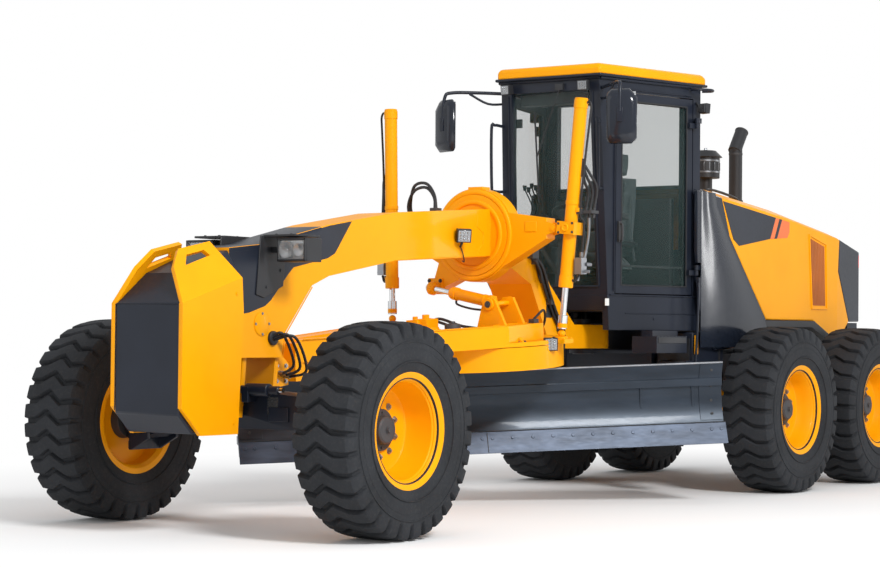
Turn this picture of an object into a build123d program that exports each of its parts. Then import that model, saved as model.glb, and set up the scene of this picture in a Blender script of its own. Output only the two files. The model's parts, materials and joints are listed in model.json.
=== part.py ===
from build123d import *
import os
from math import cos, radians, sin

# Motor grader, six wheels, articulated frame.  Millimetres, +X machine left, front faces -Y, +Z up.
# The origin is on the ground under the middle of the machine.

os.makedirs("parts", exist_ok=True)

# ---- driving dimensions -------------------------------------------------------------------------
FRONT_AXLE_Y = -3500
TANDEM_Y = 2700
TANDEM_SPACING = 1550
FRONT_TRACK = 2240
REAR_TRACK = 2200
PIVOT_Y = 650                 # articulation pin
REAR_END_Y = 4460

TYRE_R = 670
TYRE_W = 445
TREAD_W = 400
BEAD_R = 316
RIM_FLANGE_R = 360
RIM_W = 390
HUB_BORE_R = 60.05
STUB_R = 60

BEAM_HALF = 160               # half width of the gooseneck beam
SADDLE_Y = -845
SADDLE_Z = 1990
SADDLE_R = 345
SADDLE_INNER_R = 300

BALL_Y = -3140                # drawbar ball under the gooseneck
BALL_Z = 1000
DRAWBAR_BALL_R = 70
DRAWBAR_PITCH = 3.5           # the drawbar parks with its rear end raised
CIRCLE_Y = -1000              # level position of the circle axis, before the pitch
CIRCLE_R = 720
CIRCLE_INNER_R = 560
CIRCLE_BOTTOM_Z = 890
PLATE_Z = 1060                # underside of the drawbar plate
BLADE_YAW = 45
BLADE_LENGTH = 3660
BLADE_SHIFT = 150             # moldboard centre, towards the left end, from the circle axis
BLADE_BOTTOM_Z = 245

CAB_FRONT = (450, 120)        # half width and Y of the cab's front corner at the roof
CAB_REAR = (735, 1215)        # half width and Y of the cab's rear corner
CAB_FOOT_Y = 240              # the front wall leans back to this Y at the skirt
CAB_SKIRT_Z = 1300
CAB_SILL_Z = 1570
CAB_HEAD_Z = 3150
CAB_TOP_Z = 3260
CAB_WALL = 60
ROOF_TOP_Z = 3350


def save(part, name):
    """Label a finished piece and write it as its own STEP file."""
    part.label = name
    export_step(part, f"parts/{name}.step")


def pitched(part):
    """Lift a piece that hangs on the drawbar to its parked pitch about the ball."""
    return part.rotate(Axis((0, BALL_Y, BALL_Z), (1, 0, 0)), DRAWBAR_PITCH)


def hung(part):
    """Turn a piece that hangs on the circle to its parked yaw, then pitch it with the drawbar."""
    return pitched(part.rotate(Axis((0, CIRCLE_Y, 0), (0, 0, 1)), BLADE_YAW))


# ---- wheels -------------------------------------------------------------------------------------
# name, side (+1 left), wheel centre X, wheel centre Y
WHEELS = [
    ("front_left", 1, FRONT_TRACK / 2, FRONT_AXLE_Y),
    ("front_right", -1, FRONT_TRACK / 2, FRONT_AXLE_Y),
    ("middle_left", 1, REAR_TRACK / 2, TANDEM_Y - TANDEM_SPACING / 2),
    ("middle_right", -1, REAR_TRACK / 2, TANDEM_Y - TANDEM_SPACING / 2),
    ("rear_left", 1, REAR_TRACK / 2, TANDEM_Y + TANDEM_SPACING / 2),
    ("rear_right", -1, REAR_TRACK / 2, TANDEM_Y + TANDEM_SPACING / 2),
]
BEAD_HALF = RIM_W / 2 - 15
for place, side, track_x, wheel_y in WHEELS:
    centre = (side * track_x, wheel_y, TYRE_R)
    section = Plane(origin=centre, x_dir=(side, 0, 0), z_dir=(0, 0, side))
    spin = Axis(centre, (1, 0, 0))
    with BuildPart() as tyre:
        with BuildSketch(section):
            with BuildLine():
                Polyline(
                    (-BEAD_HALF, BEAD_R), (-BEAD_HALF, RIM_FLANGE_R + 2), (-TYRE_W / 2 + 12, 420),
                    (-TYRE_W / 2, 490), (-TYRE_W / 2 + 6, 590), (-TREAD_W / 2 - 8, 645),
                    (-TREAD_W / 2 + 14, TYRE_R), (TREAD_W / 2 - 14, TYRE_R), (TREAD_W / 2 + 8, 645),
                    (TYRE_W / 2 - 6, 590), (TYRE_W / 2, 490), (TYRE_W / 2 - 12, 420),
                    (BEAD_HALF, RIM_FLANGE_R + 2), (BEAD_HALF, BEAD_R), (BEAD_HALF - 40, BEAD_R),
                    (BEAD_HALF - 34, 370), (TYRE_W / 2 - 34, 480), (TYRE_W / 2 - 44, 585),
                    (-TYRE_W / 2 + 44, 585), (-TYRE_W / 2 + 34, 480), (-BEAD_HALF + 34, 370),
                    (-BEAD_HALF + 40, BEAD_R), close=True,
                )
            make_face()
        revolve(axis=spin)
    save(tyre.part, f"tyre_{place}")

    # deep-dished rim: barrel, two flanges, disc with its raised hub round the bearing bore
    with BuildPart() as rim:
        with BuildSketch(section):
            with BuildLine():
                Polyline(
                    (-RIM_W / 2, RIM_FLANGE_R), (-RIM_W / 2 + 15, RIM_FLANGE_R), (-RIM_W / 2 + 15, BEAD_R),
                    (RIM_W / 2 - 15, BEAD_R), (RIM_W / 2 - 15, RIM_FLANGE_R), (RIM_W / 2, RIM_FLANGE_R),
                    (RIM_W / 2, 318), (RIM_W / 2 - 30, 302), (0, 296), (-45, 250), (-45, 150), (-20, 130),
                    (-10, 90), (-10, 0), (-35, 0), (-35, HUB_BORE_R), (-120, HUB_BORE_R), (-120, 120),
                    (-70, 150), (-70, 262), (-40, 302), (-RIM_W / 2 + 30, 302), (-RIM_W / 2, 318), close=True,
                )
            make_face()
        revolve(axis=spin)
    save(rim.part, f"rim_{place}")

# ---- front frame: gooseneck beam, saddle disc, diagonal leg and hinge tongue ---------------------
TONGUE_BOTTOM_Z = 1155        # the hinge stands high enough for the blade to turn under it
TONGUE_TOP_Z = 1340
TONGUE_R = 200
PIVOT_PIN_R = 60
LEG_HALF = 190
with BuildPart() as front_frame:
    with BuildSketch(Plane.YZ):
        with BuildLine():
            Polyline(
                (-3860, 1790), (-3540, 1824), (-2840, 1980), (-2110, 2095), (-925, 2180), (-925, 1832),
                (-2110, 1761), (-2840, 1638), (-3020, 1571), (-3300, 1252), (-3330, 1100), (-3860, 1100),
                close=True,
            )
        make_face()
    extrude(amount=BEAM_HALF, both=True)
    with BuildSketch(Plane.XZ.offset(925)):          # the disc that the saddle clamps
        with Locations((0, SADDLE_Z)):
            Circle(SADDLE_INNER_R)
    extrude(amount=-160)
    with BuildSketch(Plane.YZ):                      # leg down to the hinge, under the cab
        with BuildLine():
            Polyline(
                (-780, 2190), (-420, 1960), (-150, 1640), (209, TONGUE_TOP_Z), (PIVOT_Y, TONGUE_TOP_Z),
                (PIVOT_Y, TONGUE_BOTTOM_Z), (-130, TONGUE_BOTTOM_Z), (-420, 1640), (-780, 1790), close=True,
            )
        make_face()
    extrude(amount=LEG_HALF, both=True)
    with BuildSketch(Plane.XY.offset(TONGUE_BOTTOM_Z)):
        with Locations((0, PIVOT_Y)):
            Circle(TONGUE_R)
    extrude(amount=TONGUE_TOP_Z - TONGUE_BOTTOM_Z)
    with Locations((0, PIVOT_Y, TONGUE_BOTTOM_Z)):
        Cylinder(PIVOT_PIN_R + 0.05, 600, mode=Mode.SUBTRACT)
    for bracket_y in (-180, 140):                    # brackets that hold the axle's centre pin
        with BuildSketch(Plane.XZ.offset(-(FRONT_AXLE_Y + bracket_y))):
            with BuildLine():
                Polyline((-130, 1100), (-100, 720), (100, 720), (130, 1100), close=True)
            make_face()
        extrude(amount=-40)
    with Locations(Plane(origin=(0, FRONT_AXLE_Y, 800), z_dir=(0, 1, 0))):
        Cylinder(45.05, 400, mode=Mode.SUBTRACT)
    with BuildSketch(Plane.YZ):                      # socket block for the drawbar ball
        with BuildLine():
            Polyline((-3320, 1100), (-3320, 900), (-3170, 920), (-3170, 1060), (-3330, 1180), close=True)
        make_face()
    extrude(amount=90, both=True)
    with Locations((0, BALL_Y, BALL_Z)):
        Sphere(DRAWBAR_BALL_R + 0.3, mode=Mode.SUBTRACT)
save(front_frame.part, "front_frame")

# ---- saddle: ring round the disc, with an arm to each lift cylinder ------------------------------
TRUNNION_Z = 2030
TRUNNION_X = 800
SADDLE_ARM_X = 630
YOKE_PIN_X = 690              # fore-and-aft pin on which the lift cylinder swings sideways
with BuildPart() as saddle:
    with BuildSketch(Plane.XZ.offset(905)):
        with Locations((0, SADDLE_Z)):
            Circle(SADDLE_R)
        with BuildLine():
            Polyline(
                (0, SADDLE_Z + 200), (SADDLE_ARM_X, TRUNNION_Z + 75), (SADDLE_ARM_X, TRUNNION_Z - 75),
                (250, SADDLE_Z - 240), (-250, SADDLE_Z - 240), (-SADDLE_ARM_X, TRUNNION_Z - 75),
                (-SADDLE_ARM_X, TRUNNION_Z + 75), close=True,
            )
        make_face()
        with BuildLine():                            # lower corner that carries the centre shift cylinder
            Polyline((-300, SADDLE_Z - 150), (-80, SADDLE_Z - 300), (-300, 1590), (-380, 1590), close=True)
        make_face()
        with Locations((0, SADDLE_Z)):
            Circle(SADDLE_INNER_R, mode=Mode.SUBTRACT)
    extrude(amount=-120)
    for side in (-1, 1):                             # fork and pin that each yoke swings on
        for cheek_y in (-52.5, 52.5):
            with BuildSketch(Plane.XZ.offset(-(SADDLE_Y + cheek_y))):
                with BuildLine():
                    Polyline(
                        (side * (SADDLE_ARM_X - 40), TRUNNION_Z + 60), (side * YOKE_PIN_X, TRUNNION_Z + 30),
                        (side * (YOKE_PIN_X + 28), TRUNNION_Z), (side * YOKE_PIN_X, TRUNNION_Z - 30),
                        (side * (SADDLE_ARM_X - 40), TRUNNION_Z - 60), close=True,
                    )
                make_face()
            extrude(amount=7.5, both=True)
        with Locations(Plane(origin=(side * YOKE_PIN_X, SADDLE_Y, TRUNNION_Z), z_dir=(0, 1, 0))):
            Cylinder(20, 120)
save(saddle.part, "saddle")

# ---- push block ---------------------------------------------------------------------------------
BLOCK_HALF = 262
CHEEK = 30
FOLD_FRONT = (BLOCK_HALF + CHEEK, -4430, 1432)       # the fold line rises to the rear
FOLD_REAR = (BLOCK_HALF + CHEEK, -3880, 1600)
RIDGE_FRONT = (200, -4265, 1630)
fold_dir = (Vector(*FOLD_REAR) - Vector(*FOLD_FRONT)).normalized()
lean_dir = (Vector(*RIDGE_FRONT) - Vector(*FOLD_FRONT)).normalized()
fold_plane = Plane(origin=FOLD_FRONT, x_dir=fold_dir, z_dir=fold_dir.cross(lean_dir).normalized())
with BuildPart() as push_block:
    with BuildSketch(Plane.YZ):
        with BuildLine():
            Polyline(
                (-4425, 760), (-4425, 1432), (-4260, 1622), (-3860, 1775), (-3860, 660), (-4300, 640),
                close=True,
            )
        make_face()
    extrude(amount=BLOCK_HALF, both=True)
    split(bisect_by=fold_plane.offset(-CHEEK), keep=Keep.BOTTOM)
    mirrored = Plane(
        origin=(-fold_plane.origin.X, fold_plane.origin.Y, fold_plane.origin.Z),
        x_dir=(-fold_plane.x_dir.X, fold_plane.x_dir.Y, fold_plane.x_dir.Z),
        z_dir=(-fold_plane.z_dir.X, fold_plane.z_dir.Y, fold_plane.z_dir.Z),
    )
    split(bisect_by=mirrored.offset(-CHEEK), keep=Keep.BOTTOM)
save(push_block.part, "push_block")

with BuildPart() as push_block_cheeks:
    with BuildSketch(Plane.YZ.offset(BLOCK_HALF)):
        with BuildLine():
            Polyline(
                (-4430, 800), (-4430, 1432), (-3880, 1600), (-3865, 1400), (-3907, 630), (-4250, 630),
                close=True,
            )
        make_face()
    extrude(amount=CHEEK)
    with BuildSketch(fold_plane):
        with BuildLine():
            Polyline((0, 0), (120, 235), (245, 330), (520, 300), (575, 0), close=True)
        make_face()
        with BuildLine():
            Polyline((215, 215), (275, 275), (430, 262), (450, 215), close=True)
        make_face(mode=Mode.SUBTRACT)
    extrude(amount=-CHEEK)
    mirror(about=Plane.YZ)
save(push_block_cheeks.part, "push_block_cheeks")

# ---- headlights ---------------------------------------------------------------------------------
LAMP_X = 385
LAMP_Z = 1785
with BuildPart() as headlights:
    for side in (-1, 1):
        with Locations((side * LAMP_X, -3430, LAMP_Z)):
            Box(230, 150, 150)
        with Locations((side * (BEAM_HALF + 130), -3400, LAMP_Z + 92)):
            Box(260, 260, 14)
        with BuildSketch(Plane.YZ.offset(side * (BEAM_HALF + 5))):
            with BuildLine():
                Polyline((-3560, 1878), (-3300, 1878), (-3330, 1560), (-3520, 1480), (-3600, 1500), close=True)
            make_face()
        extrude(amount=5, both=True)
save(headlights.part, "headlights")

# ---- front axle, lean yokes and spindles --------------------------------------------------------
LEAN_X = 770
LEAN_Z = 620
KINGPIN_X = 935
AXLE_PIN_R = 45
with BuildPart() as front_axle:
    with BuildSketch(Plane.XZ.offset(-(FRONT_AXLE_Y - 115))):
        with BuildLine():
            Polyline(
                (-LEAN_X, 560), (-LEAN_X, 680), (-560, 860), (-90, 900), (90, 900), (560, 860),
                (LEAN_X, 680), (LEAN_X, 560), (520, 650), (-520, 650), close=True,
            )
        make_face()
    extrude(amount=-230)
    for side in (-1, 1):
        with Locations(Plane(origin=(side * LEAN_X, FRONT_AXLE_Y, LEAN_Z), z_dir=(0, 1, 0))):
            Cylinder(60, 230)
            Cylinder(30.05, 260, mode=Mode.SUBTRACT)
    with Locations(Plane(origin=(0, FRONT_AXLE_Y, 800), z_dir=(0, 1, 0))):
        Cylinder(45, 380)
save(front_axle.part, "front_axle")

for name, side in (("left", 1), ("right", -1)):
    # the lean yoke straddles the beam's end and carries the kingpin between its upper and lower arms
    with BuildPart() as yoke:
        for arm_y in (-150, 125):
            with BuildSketch(Plane.XZ.offset(-(FRONT_AXLE_Y + arm_y))):
                with BuildLine():
                    Polyline(
                        (side * (LEAN_X - 70), 560), (side * (LEAN_X - 70), 700), (side * 850, 850),
                        (side * 860, 850), (side * 860, 480), (side * 850, 480), close=True,
                    )
                make_face()
            extrude(amount=-25)
        with Locations((side * 855, FRONT_AXLE_Y, 665)):
            Box(20, 300, 370)
        for arm_z in (505, 825):
            with Locations((side * KINGPIN_X, FRONT_AXLE_Y, arm_z)):
                Cylinder(55, 50)
            with Locations((side * 895, FRONT_AXLE_Y, arm_z)):
                Box(80, 100, 50)
        with Locations(Plane(origin=(side * LEAN_X, FRONT_AXLE_Y, LEAN_Z), z_dir=(0, 1, 0))):
            Cylinder(30, 300)
        with Locations((side * KINGPIN_X, FRONT_AXLE_Y, 665)):
            Cylinder(28, 300)
    save(yoke.part, f"lean_yoke_{name}")

    with BuildPart() as spindle:
        with Locations((side * KINGPIN_X, FRONT_AXLE_Y, TYRE_R)):
            Cylinder(60, 240)
        with Locations(Plane(origin=(side * 960, FRONT_AXLE_Y, TYRE_R), z_dir=(1, 0, 0))):
            Cylinder(90, 40)
        with Locations(Plane(origin=(side * 1023, FRONT_AXLE_Y, TYRE_R), z_dir=(1, 0, 0))):
            Cylinder(STUB_R, 120)
        with Locations((side * KINGPIN_X, FRONT_AXLE_Y, 665)):
            Cylinder(28.05, 400, mode=Mode.SUBTRACT)
    save(spindle.part, f"spindle_{name}")

# ---- drawbar, in its level position, then pitched ------------------------------------------------
ARM_BOTTOM_Z = PLATE_Z
ARM_TOP_Z = 1210
LEFT_BALL_X = 730
RIGHT_BALL_X = -783
LEFT_PAD_Z = 1130
RIGHT_PAD_Z = 1230
LIFT_Y = -830
BALL_R = 28
SHIFT_TOWER_X = 395
with BuildPart() as drawbar_ball:
    with Locations((0, BALL_Y, BALL_Z)):
        Sphere(DRAWBAR_BALL_R)
save(drawbar_ball.part, "drawbar_ball")

with BuildPart() as drawbar:
    with BuildSketch(Plane.XY.offset(ARM_BOTTOM_Z - 120)):      # nose housing round the ball
        with Locations((0, BALL_Y + 130)):
            Rectangle(220, 220)
    extrude(amount=ARM_TOP_Z - ARM_BOTTOM_Z + 100)
    for side in (-1, 1):                                         # two arms of the A-frame
        with BuildSketch(Plane.XY.offset(ARM_BOTTOM_Z)):
            with BuildLine():
                Polyline(
                    (side * 20, BALL_Y + 160), (side * 110, BALL_Y + 60), (side * 620, -1350),
                    (side * 620, -900), (side * 480, -900), (side * 480, -1350), close=True,
                )
            make_face()
        extrude(amount=ARM_TOP_Z - ARM_BOTTOM_Z)
    with BuildSketch(Plane.XY.offset(PLATE_Z)):                  # plate over the circle
        with Locations((0, CIRCLE_Y)):
            Circle(CIRCLE_R)
            Circle(300, mode=Mode.SUBTRACT)
    extrude(amount=30)
    with Locations((0, BALL_Y, BALL_Z)):
        Sphere(DRAWBAR_BALL_R + 0.3, mode=Mode.SUBTRACT)
    for side, ball_x, pad_z in ((1, LEFT_BALL_X, LEFT_PAD_Z), (-1, RIGHT_BALL_X, RIGHT_PAD_Z)):
        with Locations((side * 640, LIFT_Y, (PLATE_Z + pad_z - 40) / 2)):
            Box(180, 180, pad_z - 40 - PLATE_Z)
        with Locations((ball_x, LIFT_Y, pad_z - 55)):
            Box(120, 120, 30)
        with Locations((ball_x, LIFT_Y, pad_z)):
            Sphere(BALL_R)
        with Locations((ball_x, LIFT_Y, pad_z - 30)):
            Cylinder(18, 50)
    for tower_y in (-1265, -1025):                               # tower for the centre shift cylinder
        with BuildSketch(Plane.XZ.offset(-tower_y)):
            with BuildLine():
                Polyline((250, PLATE_Z), (350, 1400), (440, 1400), (600, PLATE_Z), close=True)
            make_face()
        extrude(amount=-30)
    with Locations(Plane(origin=(SHIFT_TOWER_X, -1130, 1360), z_dir=(0, 1, 0))):
        Cylinder(18, 270)
save(pitched(drawbar.part), "drawbar")

# ---- circle with the arms that carry the blade ---------------------------------------------------
ARM_U = 560                   # blade arms, out from the middle along the blade
TIP_V = 330                   # tip pivot, behind the circle axis
TIP_Z = 430
with BuildPart() as circle:
    with BuildSketch(Plane.XY.offset(CIRCLE_BOTTOM_Z)):
        with Locations((0, CIRCLE_Y)):
            Circle(CIRCLE_R)
            Circle(CIRCLE_INNER_R, mode=Mode.SUBTRACT)
    extrude(amount=PLATE_Z - 5 - CIRCLE_BOTTOM_Z)
    for side in (-1, 1):
        for gap in (-60, 30):
            with BuildSketch(Plane.YZ.offset(side * ARM_U + gap)):
                with BuildLine():
                    Polyline(
                        (CIRCLE_Y + 264, CIRCLE_BOTTOM_Z), (CIRCLE_Y + 440, CIRCLE_BOTTOM_Z),
                        (CIRCLE_Y + TIP_V + 60, TIP_Z - 60), (CIRCLE_Y + TIP_V - 50, TIP_Z - 60),
                        (CIRCLE_Y + TIP_V - 53, TIP_Z + 100), close=True,
                    )
                make_face()
            extrude(amount=30)
        with Locations(Plane(origin=(side * ARM_U, CIRCLE_Y + TIP_V, TIP_Z), z_dir=(1, 0, 0))):
            Cylinder(25, 140)
save(hung(circle.part), "circle")

# ---- blade support: it tips on the pins and holds the moldboard's rails --------------------------
RAILS = ((400, 30), (700, 30))                       # height above the blade's own zero, half height
with BuildPart() as blade_support:
    for side in (-1, 1):
        with BuildSketch(Plane.YZ.offset(side * ARM_U - 25)):
            with BuildLine():
                Polyline(
                    (CIRCLE_Y + TIP_V - 45, TIP_Z - 40), (CIRCLE_Y + TIP_V + 45, TIP_Z - 40),
                    (CIRCLE_Y + TIP_V + 45, TIP_Z + 60), (CIRCLE_Y + 250, 745), (CIRCLE_Y + 215, 745),
                    (CIRCLE_Y + 215, 380), close=True,
                )
            make_face()
        extrude(amount=50)
        with Locations(Plane(origin=(side * ARM_U, CIRCLE_Y + TIP_V, TIP_Z), z_dir=(1, 0, 0))):
            Cylinder(25.05, 200, mode=Mode.SUBTRACT)
    with Locations((0, CIRCLE_Y + 228, 600)):
        Box(2 * ARM_U, 30, 120)
save(hung(blade_support.part), "blade_support")

with BuildPart() as moldboard:
    with BuildSketch(Plane.YZ):
        with BuildLine():
            ThreePointArc((CIRCLE_Y + 5, 300), (CIRCLE_Y + 118, 570), (CIRCLE_Y + 60, 845))
            Line((CIRCLE_Y + 60, 845), (CIRCLE_Y + 84, 850))
            ThreePointArc((CIRCLE_Y + 84, 850), (CIRCLE_Y + 143, 570), (CIRCLE_Y + 27, 290))
            Line((CIRCLE_Y + 27, 290), (CIRCLE_Y + 5, 300))
        make_face()
        for rail_z, half in RAILS:
            with BuildLine():
                Polyline(
                    (CIRCLE_Y + 95, rail_z - half), (CIRCLE_Y + 205, rail_z - half),
                    (CIRCLE_Y + 205, rail_z + half), (CIRCLE_Y + 95, rail_z + half), close=True,
                )
            make_face()
    extrude(amount=BLADE_LENGTH / 2, both=True)
moldboard_part = Pos(BLADE_SHIFT, 0, 0) * moldboard.part
save(hung(moldboard_part), "moldboard")

with BuildPart() as cutting_edge:
    with BuildSketch(Plane.YZ):
        with BuildLine():
            Polyline(
                (CIRCLE_Y - 40, BLADE_BOTTOM_Z), (CIRCLE_Y - 22, BLADE_BOTTOM_Z),
                (CIRCLE_Y + 42, 390), (CIRCLE_Y + 24, 400), close=True,
            )
        make_face()
    extrude(amount=BLADE_LENGTH / 2, both=True)
    add(moldboard.part, mode=Mode.SUBTRACT)
save(hung(Pos(BLADE_SHIFT, 0, 0) * cutting_edge.part), "cutting_edge")

# ---- lift cylinders -----------------------------------------------------------------------------
BARREL_R = 48
ROD_R = 22
ROD_GAP = 0.3
BARREL_UP = 937
BARREL_DOWN = 430
ROD_TOP = 780                 # how far the rod reaches up the barrel past the trunnion
YOKE_HALF = 73
EYE_GAP = 6                   # the rod's eye stays this far above the drawbar's ball
EYE_R = 34
EYE_LENGTH = 100
pitch = radians(DRAWBAR_PITCH)


def pitched_point(x, y, z):
    """Where a point of the level drawbar stands once pitched."""
    dy = y - BALL_Y
    dz = z - BALL_Z
    return (x, BALL_Y + dy * cos(pitch) - dz * sin(pitch), BALL_Z + dy * sin(pitch) + dz * cos(pitch))


for name, side, ball_x, pad_z in (("left", 1, LEFT_BALL_X, LEFT_PAD_Z), ("right", -1, RIGHT_BALL_X, RIGHT_PAD_Z)):
    trunnion = Vector(side * TRUNNION_X, SADDLE_Y, TRUNNION_Z)
    ball = Vector(*pitched_point(ball_x, LIFT_Y, pad_z))
    down = (ball - trunnion).normalized()
    reach = (ball - trunnion).length
    axis_plane = Plane(origin=trunnion, x_dir=(0, 1, 0), z_dir=down)
    with BuildPart() as lift_yoke:                   # ring round the barrel, and its lug on the fork's pin
        with Locations(axis_plane):
            Box(150, 2 * YOKE_HALF, 90)
        with Locations((side * (YOKE_PIN_X + 18), SADDLE_Y, TRUNNION_Z)):
            Box(60, 80, 60)
        with Locations(Plane(origin=(side * YOKE_PIN_X, SADDLE_Y, TRUNNION_Z), z_dir=(0, 1, 0))):
            Cylinder(30, 80)
            Cylinder(20.05, 100, mode=Mode.SUBTRACT)
        with Locations(axis_plane):
            Cylinder(BARREL_R + 8, 200, mode=Mode.SUBTRACT)
            with Locations(Plane(origin=(0, 0, 0), z_dir=(0, 1, 0))):
                Cylinder(18.05, 220, mode=Mode.SUBTRACT)
    save(lift_yoke.part, f"lift_yoke_{name}")
    with BuildPart() as lift_cylinder:
        with Locations(axis_plane.offset((BARREL_DOWN - BARREL_UP) / 2)):
            Cylinder(BARREL_R, BARREL_UP + BARREL_DOWN)
        with Locations(axis_plane):
            with Locations(Plane(origin=(0, 0, 0), z_dir=(0, 1, 0))):
                Cylinder(18, 2 * YOKE_HALF)
        with Locations(axis_plane.offset((BARREL_DOWN + 10 - ROD_TOP - 100) / 2)):
            Cylinder(ROD_R + ROD_GAP, BARREL_DOWN + 10 + ROD_TOP + 100, mode=Mode.SUBTRACT)
    save(lift_cylinder.part, f"lift_cylinder_{name}")
    rod_end = reach - BALL_R - EYE_GAP
    with BuildPart() as lift_rod:
        with Locations(axis_plane.offset((rod_end - ROD_TOP) / 2)):
            Cylinder(ROD_R, rod_end + ROD_TOP)
        with Locations(axis_plane.offset(rod_end - EYE_LENGTH / 2)):
            Cylinder(EYE_R, EYE_LENGTH)
    save(lift_rod.part, f"lift_rod_{name}")

# ---- centre shift cylinder ----------------------------------------------------------------------
SHIFT_BASE = Vector(-340, SADDLE_Y - 120, 1600)
SHIFT_PIN = Vector(*pitched_point(SHIFT_TOWER_X, -1150, 1360))
shift_dir = (SHIFT_PIN - SHIFT_BASE).normalized()
shift_reach = (SHIFT_PIN - SHIFT_BASE).length
shift_plane = Plane(origin=SHIFT_BASE, x_dir=(0, 0, 1), z_dir=shift_dir)
SHIFT_BARREL = 450
SHIFT_ROD = 465               # rod length from its ball on the saddle
SHIFT_EYE = 70                # the barrel's eye stops short of the tower pin by this much
with BuildPart() as centre_shift_rod:
    with Locations(shift_plane):
        Sphere(42)
    with Locations(shift_plane.offset(SHIFT_ROD / 2)):
        Cylinder(22, SHIFT_ROD)
save(centre_shift_rod.part, "centre_shift_rod")
with BuildPart() as centre_shift_cylinder:
    with Locations(shift_plane.offset(shift_reach - SHIFT_EYE - SHIFT_BARREL / 2)):
        Cylinder(42, SHIFT_BARREL)
        Cylinder(22.3, SHIFT_BARREL + 10, mode=Mode.SUBTRACT)
    with Locations(shift_plane.offset(shift_reach - SHIFT_EYE)):
        Box(90, 60, 40)
save(centre_shift_cylinder.part, "centre_shift_cylinder")

# ---- rear frame ---------------------------------------------------------------------------------
RAIL_X = 340
HINGE_PLATE = 30
HINGE_NOSE_R = 110            # round front of the hinge plates, clear of the leg at full articulation
with BuildPart() as rear_frame:
    for plate_z in (TONGUE_BOTTOM_Z - 10 - HINGE_PLATE, TONGUE_TOP_Z + 10):    # hinge plates above and below the tongue
        with BuildSketch(Plane.XY.offset(plate_z)):
            with BuildLine():
                Polyline(
                    (-HINGE_NOSE_R, PIVOT_Y), (HINGE_NOSE_R, PIVOT_Y), (RAIL_X + 60, 1120), (-RAIL_X - 60, 1120),
                    close=True,
                )
            make_face()
            with Locations((0, PIVOT_Y)):
                Circle(HINGE_NOSE_R)
        extrude(amount=HINGE_PLATE)
    with Locations((0, PIVOT_Y, (TONGUE_TOP_Z + TONGUE_BOTTOM_Z) / 2)):
        Cylinder(PIVOT_PIN_R, TONGUE_TOP_Z - TONGUE_BOTTOM_Z + 2 * HINGE_PLATE + 20)
    for side in (-1, 1):
        with Locations((side * RAIL_X, (1050 + 4300) / 2, 955)):
            Box(120, 4300 - 1050, 310)
    with Locations((0, 1095, 1090)):                              # riser from the rails to the hinge plates
        Box(2 * RAIL_X + 120, 100, 580)
    for cross_y in (2000, 3300, 4240):
        with Locations((0, cross_y, 955)):
            Box(2 * RAIL_X, 120, 310)
    with Locations((0, REAR_END_Y - 105, 1110)):                  # tail casting under the rear grille
        Box(1240, 210, 560)
    for side in (-1, 1):                                          # cab mounts
        for mount_y in (930, 1080):
            with Locations((side * 240, mount_y, 1410)):
                Cylinder(45, 60)
    with Locations((0, REAR_END_Y - 150, 880)):
        Box(200, 250, 100)
    with Locations((0, REAR_END_Y - 90, 880)):
        Cylinder(22.5, 300, mode=Mode.SUBTRACT)
save(rear_frame.part, "rear_frame")

with BuildPart() as engine_block:
    with Locations((0, 2350, 1500)):
        Box(620, 1500, 760)
save(engine_block.part, "engine_block")

CASE_X = 735
with BuildPart() as tandem_cases:
    for side in (-1, 1):
        with BuildSketch(Plane.YZ.offset(side * CASE_X)):
            with Locations((TANDEM_Y, TYRE_R)):
                SlotCenterToCenter(TANDEM_SPACING, 430)
        extrude(amount=95, both=True)
        for wheel_y in (TANDEM_Y - TANDEM_SPACING / 2, TANDEM_Y + TANDEM_SPACING / 2):
            with Locations(Plane(origin=(side * 860, wheel_y, TYRE_R), z_dir=(1, 0, 0))):
                Cylinder(115, 80)
            with Locations(Plane(origin=(side * 957, wheel_y, TYRE_R), z_dir=(1, 0, 0))):
                Cylinder(STUB_R, 210)
save(tandem_cases.part, "tandem_cases")

with BuildPart() as rear_axle:
    with Locations(Plane(origin=(0, TANDEM_Y, TYRE_R), z_dir=(1, 0, 0))):
        Cylinder(130, 2 * (CASE_X - 95))
        Cylinder(250, 300)
save(rear_axle.part, "rear_axle")

# ---- cab layout -----------------------------------------------------------------------------------
side_slope = (CAB_REAR[0] - CAB_FRONT[0]) / (CAB_REAR[1] - CAB_FRONT[1])
lean = (CAB_FOOT_Y - CAB_FRONT[1]) / (CAB_TOP_Z - CAB_SKIRT_Z)


def cab_prism(low_z, high_z, inset):
    """The cab's plan shape between two heights, its walls moved in by inset, its front leaning."""
    with BuildPart() as prism:
        with BuildSketch(Plane.XY.offset(low_z)):
            with BuildLine():
                front_x = CAB_FRONT[0] - side_slope * 400 - inset * 1.034
                rear_x = CAB_REAR[0] - inset * 1.034 - side_slope * inset
                Polyline(
                    (-front_x, CAB_FRONT[1] - 400), (front_x, CAB_FRONT[1] - 400),
                    (rear_x, CAB_REAR[1] - inset), (-rear_x, CAB_REAR[1] - inset), close=True,
                )
            make_face()
        extrude(amount=high_z - low_z)
        front = Plane(
            origin=(0, CAB_FRONT[1] + inset, CAB_TOP_Z), x_dir=(1, 0, 0), z_dir=(0, 1, lean)
        )
        split(bisect_by=front, keep=Keep.TOP)
    return prism.part


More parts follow.
